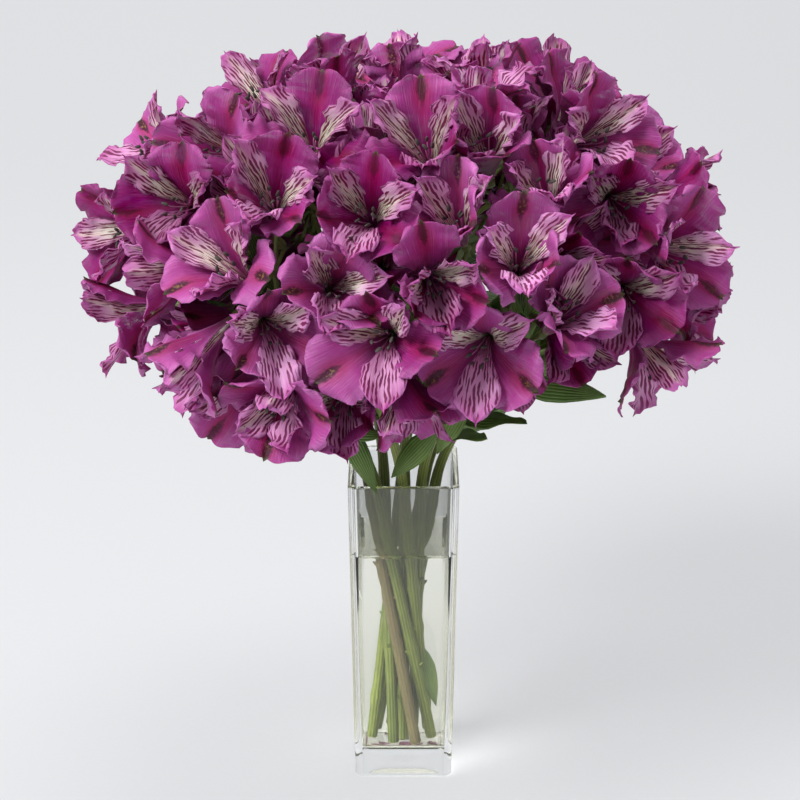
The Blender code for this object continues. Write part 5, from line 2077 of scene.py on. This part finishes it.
    def curling(self, whims: Whims, across: float, share: float, cup: float) -> float:
        """Gives how far in a point of the tepal lies: by its cup, its keel, its ruffles, tip and pleats.

        Args:
            whims: What chance decided about the tepal.
            across: The place across it, from -1 to 1.
            share: The place along it, from 0 at its base to 1 at its tip.
            cup: How far its edges would curl in if they curled evenly.

        Returns:
            The distance in metres.
        """
        edge, side = abs(across), int(across > 0)
        curl = cup * (edge**self.cup_power - self.flare * edge**self.flare_power)
        curl -= self.keel * max(0.0, 1 - edge * self.keel_slope) * smooth(*self.keel_span, share)
        turn = whims.waves[side] * self.wave_turn * share + whims.phases[side]
        wave = math.sin(turn) + self.overtone * math.sin(self.overtone_pitch * turn + 1.0)
        curl += whims.ruffle * edge**self.ruffle_power * smooth(*self.ruffle_span, share) * wave
        curl += whims.tip_curl * smooth(*self.curl_span, share)
        pleat = math.sin(whims.pleats * across + whims.phases[0])
        return curl + self.pleat * pleat * smooth(*self.pleat_span, share)

    def tip_reach(self, kind: Kind, across: float) -> float:
        """Gives how far the tip stands out, as a share of the length, at a place across it.

        Args:
            kind: The sort of tepal.
            across: The place across the tepal, from -1 to 1.

        Returns:
            The share.
        """
        edge = abs(across)
        if kind is Kind.OUTER:
            lobe, point = self.lobe * (1 - ((edge - 0.5) / 0.5) ** 2), self.outer_point
        else:
            lobe, point = self.lobe * (1 - edge), self.inner_point
        return lobe + (point if edge < self.point_half else 0.0) - self.tip_start


@dataclass(frozen=True)
class BloomHeart:
    """What stands in the middle of a bloom and under it: stamens, ovary and pedicel."""

    stamen_count: int = 6
    filament_radius: float = 0.00045
    filament_length: float = 0.037
    filament_lengths: Range = (0.78, 1.06)
    filament_steps: int = 6
    filament_sides: int = 5
    filament_foot: float = 0.0010
    filament_flare: float = 0.0048
    filament_droop: float = 0.006
    filament_taper: Range = (1.15, 0.4)
    filament_bow: float = 1.4
    # A filament sinks and rises again: how fast it sinks, and how fast it turns up
    filament_sink: float = 2.2
    filament_rise: float = 1.5
    droop_openings: Range = (30, 70)
    filament_turn: float = 14.0
    anther_length: float = 0.0046
    anther_radius: float = 0.00105
    anther_sides: int = 8
    anther_tilt: float = 0.7
    anther_marks: Marks = ((-0.5, 0.35), (-0.42, 0.80), (-0.2, 1.0), (0.1, 0.95), (0.38, 0.70), (0.5, 0.25))
    groove: float = 0.62
    anther_breadth: float = 1.15
    ovary_sides: int = 18
    ovary_ribs: int = 6
    ovary_rib: float = 0.10
    ovary_marks: Marks = (
        (-0.08, 0.30), (0.0, 0.50), (0.18, 0.84), (0.5, 1.0), (0.8, 0.92), (1.0, 0.80), (1.12, 0.55),
    )
    pedicel_sides: int = 8
    pedicel_radii: tuple[float, ...] = (0.0017, 0.0016, 0.0014, 0.00135, 0.0013, 0.0014, 0.0018)
    pedicel_shares: tuple[float, ...] = (0.4, 0.7, 0.92)
    pedicel_root: float = 0.002
    pedicel_bend: float = 0.15
    tints: Range = (0.2, 0.8)

    def stamens(self, bloom: Bloom, chance: np.random.Generator) -> list[tuple[bmesh.types.BMesh, int]]:
        """Grows six filaments that bend down and up again, each with its anther.

        Args:
            bloom: The bloom that they stand in.
            chance: The source of their lengths and turns.

        Returns:
            The parts, each with the index of its finish.
        """
        parts = []
        opened = sum(bloom.openings) / len(bloom.openings)
        droop = self.filament_droop * smooth(*self.droop_openings, opened)
        steps, (thick, taper) = self.filament_steps, self.filament_taper
        for k in range(self.stamen_count):
            turn = 360 / self.stamen_count * k + chance.uniform(-self.filament_turn, self.filament_turn)
            spread = bloom.away(turn)
            length = self.filament_length * bloom.size * chance.uniform(*self.filament_lengths)
            points = []
            for i in range(steps + 1):
                t = i / steps
                fall = droop * (self.filament_sink * t * t - self.filament_rise * t**4)
                flare = self.filament_foot + self.filament_flare * t**self.filament_bow
                points.append(bloom.base + bloom.facing * (length * t) + spread * flare - bloom.up * fall)
            radii = [self.filament_radius * (thick - taper * i / steps) for i in range(steps + 1)]
            parts.append((swept(round_rings(points, radii, self.filament_sides)), 0))
            tilt = Vector(chance.uniform(-self.anther_tilt, self.anther_tilt, 3))
            way = (points[-1] - points[-2]).normalized() + tilt
            parts.append((self.anther(points[-1], way.normalized()), 1))
        return parts

    def anther(self, end: Vector, way: Vector) -> bmesh.types.BMesh:
        """Shapes one oblong anther with the groove between its two halves.

        Args:
            end: The filament's end.
            way: The direction of its length.

        Returns:
            The anther.
        """
        side = way.orthogonal().normalized()
        other, sides = way.cross(side), self.anther_sides
        rings = []
        for share, width in self.anther_marks:
            middle = end + way * (self.anther_length * share)
            ring = []
            for k in range(sides):
                turn = 2 * math.pi * k / sides
                groove = self.groove if k in (sides // 4, sides * 3 // 4) else 1.0
                out = side * math.cos(turn) * self.anther_breadth + other * math.sin(turn) * groove
                ring.append(middle + out * (self.anther_radius * width))
            rings.append(ring)
        return swept(rings)

    def greens(
        self, cyme: Cyme, blooms: Sequence[Bloom], chance: np.random.Generator
    ) -> list[bmesh.types.BMesh]:
        """Grows the forked pedicels and the six-ribbed ovaries of a cyme's blooms.

        Args:
            cyme: The cyme that they grow from.
            blooms: The blooms.
            chance: The source of the small irregularities.

        Returns:
            A pedicel and an ovary for each bloom.
        """
        parts = []
        for bloom in blooms:
            start = cyme.fork - cyme.way * self.pedicel_root
            line = bloom.foot - cyme.bend
            points = [start, cyme.fork, cyme.bend + line * self.pedicel_bend]
            points += [cyme.bend.lerp(bloom.foot, share) for share in self.pedicel_shares]
            points.append(bloom.foot)
            rings = round_rings(points, self.pedicel_radii, self.pedicel_sides)
            parts.append(swept(rings, tint=chance.uniform(*self.tints)))
            parts.append(swept(self.ovary_rings(bloom), tint=chance.uniform(*self.tints)))
        return parts

    def ovary_rings(self, bloom: Bloom) -> list[list[Vector]]:
        """Gives the ribbed rings of a bloom's ovary, from its foot up.

        Args:
            bloom: The bloom.

        Returns:
            The rings.
        """
        rings = []
        for share, radius in self.ovary_marks:
            middle = bloom.foot + bloom.facing * (bloom.ovary_length * share)
            ring = []
            for k in range(self.ovary_sides):
                turn = 2 * math.pi * k / self.ovary_sides
                rib = 1 + self.ovary_rib * math.cos(self.ovary_ribs * turn)
                out = bloom.ovary_radius * radius * rib
                ring.append(middle + (bloom.side * math.cos(turn) + bloom.up * math.sin(turn)) * out)
            rings.append(ring)
        return rings


@dataclass(frozen=True)
class StemDress:
    """The fine stem: a smooth curve with its rays, the swollen node they leave from, and its leaves."""

    sides: int = 16
    scars: int = 5
    columns: int = 8
    rows: int = 16
    leaf_thickness: float = 0.00045
    leaf_marks: Marks = (
        (0, 0.13), (0.10, 0.25), (0.25, 0.72), (0.42, 1.0), (0.6, 0.93), (0.74, 0.72), (0.9, 0.33), (1, 0.03),
    )
    leaf_waves: Range = (0.0005, 0.0016)
    leaf_curls: Range = (0.10, 0.30)
    leaf_bowl: float = 1.3
    leaf_swings: float = 14
    leaf_phases: Range = (0, 6.28)
    # The finish draws a leaf's fine lines by this place across it, at each edge
    leaf_edge_place: float = 3.14
    scar_places: Range = (0.12, 0.92)
    scar_reach: float = 0.040
    scar_swell: float = 0.20
    stub_reaches: tuple[float, ...] = (0.0, 0.0030, 0.0056)
    stub_radii: tuple[float, ...] = (0.0024, 0.0016, 0.0004)
    stub_sides: int = 6
    stub_lean: float = 0.9
    stub_root: float = 0.6
    foot_steps: int = 24
    cut_edge: float = 0.004
    cut_share: float = 0.86
    plump: float = 1.06
    uneven: float = 0.03
    uneven_swings: float = 21
    uneven_phase: float = 900
    cut_place: float = -0.3
    upper_steps: int = 12
    knob_radius: float = 0.0036
    knob_rise: float = 0.003
    knob_top: float = 0.0022
    ray_sides: int = 10
    ray_marks: Marks = (
        (0.0, 0.0022), (0.04, 0.0026), (0.12, 0.0021), (0.35, 0.0018),
        (0.6, 0.0017), (0.85, 0.0018), (0.95, 0.0021), (1.0, 0.0016),
    )
    ray_overlap: float = 0.0012
    tints: Range = (0.2, 0.8)
    stem_tints: Range = (0.1, 0.85)
    blush_height: float = 0.35

    def stub(self, stem: Stem, scar: float, turn: float, tint: float) -> bmesh.types.BMesh:
        """Grows the stub that a stripped leaf leaves on its node.

        Args:
            stem: The stem.
            scar: The place between its foot and its neck, from 0 to 1.
            turn: The turn about the stem, in radians.
            tint: The tint that the finish reads.

        Returns:
            The stub.
        """
        line = (stem.neck - stem.foot).normalized()
        away = line.orthogonal().normalized()
        away.rotate(Matrix.Rotation(turn, 3, line))
        lean = (away + line * self.stub_lean).normalized()
        root = stem.foot.lerp(stem.neck, scar) + away * (stem.radius * self.stub_root)
        points = [root + lean * reach for reach in self.stub_reaches]
        return swept(round_rings(points, self.stub_radii, self.stub_sides), tint=tint)

    def skins(self, stem: Stem, tint: float, chance: np.random.Generator) -> list[bmesh.types.BMesh]:
        """Grows the stem with its nodes and cut end, and its rays.

        Args:
            stem: The stem.
            tint: The tint that the finish reads.
            chance: The source of the small irregularities.

        Returns:
            The stem, its stubs and its rays.
        """
        lengths = [0.0, self.cut_edge] + [i / self.foot_steps for i in range(1, self.foot_steps + 1)]
        points = [stem.foot.lerp(stem.neck, i) for i in lengths]
        scars = chance.uniform(*self.scar_places, self.scars)
        radii = []
        for length in lengths:
            near = min(abs(length - scar) for scar in scars)
            swing = self.uneven * math.sin(self.uneven_swings * length + stem.foot.x * self.uneven_phase)
            radii.append(stem.radius * (self.plump + swing))
            radii[-1] *= 1 + self.scar_swell * smooth(self.scar_reach, 0.0, near)
        radii[0] = stem.radius * self.cut_share
        for i in range(1, self.upper_steps + 1):
            points.append(stem.bend(i / self.upper_steps))
            radii.append(stem.radius + (stem.top_radius - stem.radius) * i / self.upper_steps)
        radii[-1] = self.knob_radius
        points.append(stem.head + (points[-1] - points[-2]).normalized() * self.knob_rise)
        radii.append(self.knob_top)
        # The place starts below 0 on the cut end, which the finish leaves pale
        shares = [self.cut_place] + [i / (len(points) - 2) for i in range(len(points) - 1)]
        rings = round_rings(points, radii, self.sides)
        parts = [swept(rings, tint=tint, shares=shares)]
        parts += [self.stub(stem, scar, chance.uniform(0, 2 * math.pi), tint) for scar in scars]
        for cyme in stem.cymes:
            end = cyme.fork + cyme.way * self.ray_overlap
            line = [stem.head.lerp(end, share) for share, _ in self.ray_marks]
            rings = round_rings(line, [radius for _, radius in self.ray_marks], self.ray_sides)
            parts.append(swept(rings, tint=chance.uniform(*self.tints)))
        return parts

    def blade(self, leaf: Leaf, tint: float, chance: np.random.Generator) -> bmesh.types.BMesh:
        """Grows one leaf with a channelled rib, a soft wave and a drawn-out point.

        Args:
            leaf: The leaf.
            tint: The tint that the finish reads.
            chance: The source of the small irregularities.

        Returns:
            The leaf's skin.
        """
        wave = chance.uniform(*self.leaf_waves)
        phase = chance.uniform(*self.leaf_phases)
        curl = chance.uniform(*self.leaf_curls)
        bm = Sculpt.fresh()
        place, vein = bm.verts.layers.float_vector["place"], bm.verts.layers.float["vein"]
        grid = bmesh.ops.create_grid(bm, x_segments=self.columns, y_segments=self.rows, size=1.0)
        for vert in grid["verts"]:
            across, share = vert.co.x, (vert.co.y + 1) / 2
            width = profile(self.leaf_marks, share) * leaf.half
            edge = abs(across)
            swing = math.sin(self.leaf_swings * share + phase + 2 * (across > 0))
            rise = curl * width * edge**self.leaf_bowl + wave * edge * edge * swing
            vert.co = leaf.middle(share) + leaf.level * (across * width) + leaf.normal * rise
            vert[place] = (across * self.leaf_edge_place, share, tint)
            vert[vein] = across
        bmesh.ops.solidify(bm, geom=bm.faces[:], thickness=self.leaf_thickness)
        bmesh.ops.recalc_face_normals(bm, faces=bm.faces)
        return bm

    def dress(self, bouquet: Bouquet, chance: np.random.Generator) -> bpy.types.Material:
        """Builds the stems with their rays and their leaves.

        Args:
            bouquet: Where they stand.
            chance: The source of their tints and small irregularities.

        Returns:
            The material of the leaves.
        """
        skin, leaf_skin = STEM.make(), LEAF.make()
        # The stem that passes nearest to the front of the water has turned brownish pink
        front = min(bouquet.stems, key=lambda stem: stem.foot.lerp(stem.neck, self.blush_height).y)
        for stem in bouquet.stems:
            stalk, leaves = Sculpt(), Sculpt()
            tint = 1.0 if stem is front else chance.uniform(*self.stem_tints)
            for part in self.skins(stem, tint, chance):
                stalk.take(part)
            for leaf in stem.leaves + bouquet.bracts(stem, chance):
                leaves.take(self.blade(leaf, chance.uniform(0, 1), chance))
            stalk.piece(f"{stem.name}_stalk", [skin], "stem_green", stem.name)
            leaves.piece(f"{stem.name}_leaves", [leaf_skin], "stem_green", stem.name)
        return leaf_skin

    def dress_deep_leaves(
        self, bouquet: Bouquet, leaf_skin: bpy.types.Material, chance: np.random.Generator
    ) -> None:
        """Builds the leaves that peep out between the blooms.

        Args:
            bouquet: Where they stand.
            leaf_skin: The material of the leaves.
            chance: The source of their tints and small irregularities.
        """
        leaves = Sculpt()
        for leaf in bouquet.deep_leaves:
            leaves.take(self.blade(leaf, chance.uniform(0, 1), chance))
        leaves.piece("deep_leaves", [leaf_skin], "stem_green")


@dataclass(eq=False)
class BloomDress:
    """Dresses the cymes: open blooms with their stamens, young blooms, ovaries and pedicels."""

    form: TepalForm
    heart: BloomHeart = BloomHeart()
    # Most blooms are either pale or deep, and each of their tepals differs a little from the bloom
    shade_spread: float = 0.7
    bloom_share: float = 0.6
    # Young blooms stand deep in the hollows, so their tints keep to the darker half: painted shade
    young_painted_shade: Range = (0, 0.5)

    def __post_init__(self) -> None:
        """Makes the skins of open and young tepals, and the finishes."""
        self.open_skin = PetalSkin(self.form)
        self.young_skin = PetalSkin(self.form, columns=6, rows=10, ruffle=0.0008, notch=0.02)
        self.petals = [finish.make() for finish in (OUTER_TEPAL, INNER_TEPAL, LOWER_TEPAL)]
        self.order = {Kind.OUTER: 0, Kind.INNER: 1, Kind.LOWER: 2}
        self.green = OVARY.make()
        self.stamen = [FILAMENT.make(), ANTHER.make()]

    def dress(self, bouquet: Bouquet, chance: np.random.Generator) -> None:
        """Builds the tepals, stamens and greens of every cyme.

        Args:
            bouquet: Where the blooms stand.
            chance: The source of their tints and small irregularities.
        """
        youngs = bouquet.young_blooms(chance)
        LOG.info("%d young blooms", len(youngs))
        for cyme in bouquet.cymes:
            own = [bloom for bloom, owner in youngs if owner is cyme]
            self.dress_cyme(bouquet, cyme, own, chance)

    def dress_cyme(
        self, bouquet: Bouquet, cyme: Cyme, youngs: Sequence[Bloom], chance: np.random.Generator
    ) -> None:
        """Builds the three pieces of one cyme.

        Args:
            bouquet: Where the blooms stand.
            cyme: The cyme.
            youngs: The young blooms that grow from its fork.
            chance: The source of their tints and small irregularities.
        """
        tepals, hearts, greens = Sculpt(), Sculpt(), Sculpt()
        posed = [bouquet.nodding(bloom, chance) for bloom in cyme.blooms]
        for bloom in posed:
            shade = self.bloom_share * chance.beta(self.shade_spread, self.shade_spread)
            for index, (kind, _) in enumerate(TEPALS):
                tint = shade + (1 - self.bloom_share) * chance.uniform(0, 1)
                tepals.take(self.open_skin.grow(bloom, index, tint, chance), self.order[kind])
            for part, finish in self.heart.stamens(bloom, chance):
                hearts.take(part, finish)
        for young in youngs:
            # The darker tints of the young blooms are painted shade of the hollows they stand in
            shade = chance.uniform(*self.young_painted_shade)
            for index, (kind, _) in enumerate(TEPALS):
                tepals.take(self.young_skin.grow(young, index, shade, chance), self.order[kind])
            for part in self.heart.greens(cyme, [young], chance):
                greens.take(part)
        for part in self.heart.greens(cyme, posed, chance):
            greens.take(part)
        tepals.piece(f"{cyme.name}_tepals", self.petals, "tepal_purple", cyme.name)
        hearts.piece(f"{cyme.name}_stamens", self.stamen, "tepal_purple")
        greens.piece(f"{cyme.name}_greens", [self.green], "stem_green")


@dataclass(frozen=True)
class VaseDress:
    """The fine glass and water: rounded corners, a soft lip, a bowl-shaped dimple and a meniscus."""

    sizes: VaseSizes
    corner_points: int = 7
    guard: float = 0.0012
    overlap: float = 0.00015
    flat_over: float = 0.0002
    film: float = 0.0001
    film_gap: float = 0.0003
    hollow: float = 0.0009
    arc: tuple[float, ...] = (0, 22, 45, 68, 90)
    foot_marks: Marks = ((0.0220, 1.0), (0.0180, 1.0), (0.0130, 0.5), (0.0080, 0.0), (0.0016, 0.0))
    foot_edge: float = 0.0005
    foot_top: float = 0.0018
    inner_corner: float = 0.7
    # Half width, corner radius and roundness of the loops that lead from the square to the dimple
    dimple_lead: tuple[tuple[float, float, float], ...] = ((0.0185, 0.006, 0.55), (0.0140, 0.005, 0.9))
    surface_middle: tuple[float, float, float] = (0.012, 0.004, 0.4)
    film_ends: Range = (0.003, 0.001)
    dimple_rim: float = 1.08
    dimple_shares: tuple[float, ...] = (1.08, 0.97, 0.82, 0.62, 0.40, 0.18, 0.03)
    dimple_bowl: float = 2.4
    # How far in from the glass the meniscus stands how high
    meniscus: Marks = ((0.0002, 0.0014), (0.0008, 0.0007), (0.0018, 0.0002), (0.004, 0.0))
    meniscus_top: float = 0.0016

    def loop(self, half: float, corner: float, height: float, roundness: float = 0.0) -> list[Vector]:
        """Gives a level loop: a square with rounded corners, or part of the way to a circle.

        Args:
            half: Half the loop's width.
            corner: The radius of its corners.
            height: Its height.
            roundness: 0 for the square, 1 for the circle.

        Returns:
            The points, corner by corner.
        """
        points = []
        last = self.corner_points - 1
        for quarter in range(4):
            middle = math.radians(45 + 90 * quarter)
            inset = (half - corner) * math.sqrt(2)
            centre = Vector((inset * math.cos(middle), inset * math.sin(middle), height))
            for i in range(-1, last + 2):
                share = max(0, min(last, i)) / last
                turn = math.radians(90 * (quarter + share))
                spot = centre + corner * Vector((math.cos(turn), math.sin(turn), 0))
                # One more point on each side of a corner keeps the flats' shading flat
                spot += Vector((-math.sin(turn), math.cos(turn), 0)) * (self.guard * (i - share * last))
                level = math.radians(90 * quarter + 90 * (i + 1.5) / (last + 3))
                ring = Vector((half * math.cos(level), half * math.sin(level), height))
                points.append(spot.lerp(ring, roundness))
        return points

    def outer(self, height: float, inset: float = 0.0) -> list[Vector]:
        """Gives a loop of the outside."""
        return self.loop(self.sizes.outer_half(height) - inset, self.sizes.corner, height)

    def inner(self, height: float, inset: float = 0.0) -> list[Vector]:
        """Gives a loop of the cavity."""
        corner = self.sizes.corner * self.inner_corner
        return self.loop(self.sizes.inner_half(height) - inset, corner, height)

    def dimple(self, swell: float = 0.0) -> list[list[Vector]]:
        """Gives the loops from the cavity's floor down into the dimple.

        Args:
            swell: How far the loops stand out into the glass.

        Returns:
            The loops.
        """
        s, level = self.sizes, self.sizes.floor - swell
        rings = [self.loop(half, corner, level, turned) for half, corner, turned in self.dimple_lead]
        for share in self.dimple_shares:
            depth = s.dimple_depth * (1 - min(1.0, share / self.dimple_rim) ** self.dimple_bowl)
            rings.append(self.loop((s.dimple_radius + swell) * share, 0.0, level - depth, 1.0))
        return rings

    def glass(self) -> bmesh.types.BMesh:
        """Sweeps the glass from its slightly hollow foot over the lip and down into the dimple.

        Returns:
            The closed body.
        """
        s, lip = self.sizes, self.sizes.lip
        rings = [self.outer(self.hollow * share, inset) for inset, share in self.foot_marks]
        rings += [self.outer(self.foot_edge, self.foot_edge), self.outer(self.foot_top)]
        rings += [self.outer(s.height * i / 4) for i in (1, 2, 3)]
        turns = [math.radians(angle) for angle in self.arc]
        for turn in turns:
            rings.append(self.outer(s.height - lip * (1 - math.sin(turn)), lip * (1 - math.cos(turn))))
        for turn in reversed(turns):
            rings.append(self.inner(s.height - lip * (1 - math.sin(turn)), -lip * (1 - math.cos(turn))))
        rings += [self.inner(s.floor + (s.height - s.floor) * i / 4) for i in (3, 2, 1)]
        for turn in turns:
            drop = s.cavity_rounding * (1 - math.sin(turn))
            rings.append(self.inner(s.floor + drop, s.cavity_rounding * (1 - math.cos(turn))))
        return swept(rings + self.dimple())

    def water(self) -> bmesh.types.BMesh:
        """Sweeps the water from the dimple up to its surface, which climbs a little at the glass.

        Returns:
            The closed body.
        """
        s, over = self.sizes, self.overlap
        rings = self.dimple(over)[::-1]
        for angle in reversed(self.arc):
            turn = math.radians(angle)
            drop = s.cavity_rounding * (1 - math.sin(turn)) - over
            rings.append(self.inner(s.floor + drop, s.cavity_rounding * (1 - math.cos(turn)) - over))
        level = s.water_level
        rings += [self.inner(s.floor + (level - s.floor) * i / 3, -over) for i in (1, 2)]
        for inset, rise in ((-over, self.meniscus_top), *self.meniscus):
            rings.append(self.inner(level + rise, inset))
        half, corner, turned = self.surface_middle
        rings.append(self.loop(half, corner, level, turned))
        return swept(rings)

    def shade_veil(self) -> bmesh.types.BMesh:
        """Sweeps the veil of painted shade that lies inside the glass between the water and the rim.

        Returns:
            The closed skin.
        """
        s = self.sizes
        low, high = s.water_level + self.film_ends[0], s.height - s.lip - self.film_ends[1]
        near, far = self.film_gap, self.film_gap + self.film
        rings = [self.inner(low + (high - low) * i / 3, near) for i in range(4)]
        rings += [self.inner(low + (high - low) * i / 3, far) for i in (3, 2, 1, 0)]
        bm = swept(rings, closed_ends=False)
        ends = [edge for edge in bm.edges if edge.is_boundary]
        bmesh.ops.bridge_loops(bm, edges=ends)
        bmesh.ops.recalc_face_normals(bm, faces=bm.faces)
        return bm

    def dress(self) -> None:
        """Builds the glass, the water and the veil of painted shade above the water."""
        glass, water, shade_veil = Sculpt(), Sculpt(), Sculpt()
        glass.take(self.glass(), flat_over=self.flat_over)
        clear = [glass.piece("glass_vase", [GlassFinish().make()], "vase_glass", "vase")]
        water.take(self.water(), flat_over=self.flat_over)
        clear.append(water.piece("vase_water", [WaterFinish().make()], "water", "water"))
        for made in clear:
            # Light reaches the stems through glass and water, and a shadow ray can't bend on its way
            made.visible_shadow = False
        # The veil inside the glass above the water is painted shade: a grey-green sheet that darkens what
        # shows through
        shade_veil.take(self.shade_veil(), flat_over=self.flat_over)
        shade_veil.piece("damp_film", [ShadeVeilFinish().make()], "water")


@dataclass(frozen=True)
class Lamp:
    """A soft square light: where it hangs, its side in metres and its power in watts."""

    name: str
    place: tuple[float, float, float]
    size: float
    power: float


@dataclass(frozen=True)
class Studio:
    """The paper sweep, the soft lights and the camera."""

    view: PhotoView
    floor_half: float = 4.0
    floor_reach: float = 3.0
    floor_height: float = -0.0006
    wall_start: float = 1.5
    wall_height: float = 3.2
    bend_radius: float = 0.9
    bend_steps: int = 12
    lamps: tuple[Lamp, ...] = (
        Lamp("key", (-2.0, -1.5, 2.6), size=1.4, power=102.0),
        Lamp("fill", (1.6, -1.0, 0.9), size=1.2, power=2.0),
        Lamp("top", (0.1, 0.3, 2.2), size=1.0, power=15.0),
    )
    lit_spot: tuple[float, float, float] = (0, 0, 0.3)
    room: str = "#F7F8FA"
    room_in_glass: float = 0.80
    room_on_petals: float = 0.27
    clear_bounces: int = 24
    glossy_bounces: int = 12

    def build(self) -> None:
        """Builds the stage, the lights and the camera."""
        self.sweep()
        for lamp in self.lamps:
            self.hang(lamp)
        self.world()
        self.camera()

    def sweep(self) -> None:
        """Makes the floor that turns up into the backdrop, from an edge extruded along it."""
        bm = bmesh.new()
        halves = (-self.floor_half, self.floor_half)
        edges = [bm.edges.new([bm.verts.new((x, -self.floor_reach, self.floor_height)) for x in halves])]
        stations = [(self.wall_start, self.floor_height)]
        for i in range(1, self.bend_steps + 1):
            turn = math.radians(90 * i / self.bend_steps)
            out, rise = self.bend_radius * math.sin(turn), self.bend_radius * (1 - math.cos(turn))
            stations.append((self.wall_start + out, rise))
        stations.append((self.wall_start + self.bend_radius, self.wall_height))
        for y, z in stations:
            grown = bmesh.ops.extrude_edge_only(bm, edges=edges)["geom"]
            edges = [g for g in grown if isinstance(g, bmesh.types.BMEdge)]
            for vert in (g for g in grown if isinstance(g, bmesh.types.BMVert)):
                vert.co = (vert.co.x, y, z)
        bmesh.ops.recalc_face_normals(bm, faces=bm.faces)
        for face in bm.faces:
            face.smooth = True
        mesh = bpy.data.meshes.new("backdrop")
        bm.to_mesh(mesh)
        bm.free()
        mesh.materials.append(BackdropFinish().make())
        made = bpy.data.objects.new("backdrop", mesh)
        bpy.context.scene.collection.objects.link(made)

    def hang(self, lamp: Lamp) -> None:
        """Hangs one soft square light that faces the bouquet.

        Args:
            lamp: Where it hangs, and how large and bright it is.
        """
        light = bpy.data.lights.new(lamp.name, "AREA")
        light.size, light.energy = lamp.size, lamp.power
        made = bpy.data.objects.new(lamp.name, light)
        made.location = lamp.place
        way = Vector(self.lit_spot) - Vector(lamp.place)
        made.rotation_euler = way.to_track_quat("-Z", "Y").to_euler()
        bpy.context.scene.collection.objects.link(made)

    def world(self) -> None:
        """Fills the room with soft white light."""
        world = bpy.data.worlds.new("room")
        world.use_nodes = True
        background = world.node_tree.nodes["Background"]
        background.inputs["Color"].default_value = linear(self.room)
        # Glass and gloss see a brighter room than the one that lights the petals' shadows
        path = world.node_tree.nodes.new("ShaderNodeLightPath")
        strength = world.node_tree.nodes.new("ShaderNodeMapRange")
        strength.inputs["To Min"].default_value = self.room_in_glass
        strength.inputs["To Max"].default_value = self.room_on_petals
        world.node_tree.links.new(path.outputs["Is Diffuse Ray"], strength.inputs["Value"])
        world.node_tree.links.new(strength.outputs["Result"], background.inputs["Strength"])
        bpy.context.scene.world = world

    def camera(self) -> None:
        """Places the camera where the photograph was taken from."""
        towards = self.view.axes()[2]
        data = bpy.data.cameras.new("camera")
        data.sensor_width = self.view.sensor
        data.lens = self.view.focal / (2 * self.view.middle) * self.view.sensor
        made = bpy.data.objects.new("camera", data)
        made.location = Vector(self.view.target) + towards * self.view.distance
        made.rotation_mode = "QUATERNION"
        made.rotation_quaternion = (-towards).to_track_quat("-Z", "Y")
        bpy.context.scene.collection.objects.link(made)
        bpy.context.scene.camera = made
        bpy.context.scene.view_settings.view_transform = "Standard"
        # Light runs along inside the glass walls, and turns black where its path is cut short
        paths = bpy.context.scene.cycles
        paths.max_bounces = paths.transmission_bounces = self.clear_bounces
        paths.glossy_bounces = self.glossy_bounces


def main() -> None:
    """Places everything, dresses it and lights it."""
    logging.basicConfig(level=logging.INFO, format="%(message)s")
    view, sizes = PhotoView(), VaseSizes()
    bouquet = Bouquet(view, Dome(), sizes, TepalForm())
    bouquet.finish_leaves()
    LOG.info("%d blooms in %d cymes", len(bouquet.blooms), len(bouquet.cymes))
    chance = np.random.default_rng(DRESS_SEED)
    VaseDress(sizes).dress()
    stems = StemDress()
    leaf_skin = stems.dress(bouquet, chance)
    BloomDress(bouquet.form).dress(bouquet, chance)
    stems.dress_deep_leaves(bouquet, leaf_skin, chance)
    Studio(view).build()
    LOG.info("%d triangles in all", Sculpt.triangles)


if __name__ == "__main__":
    main()
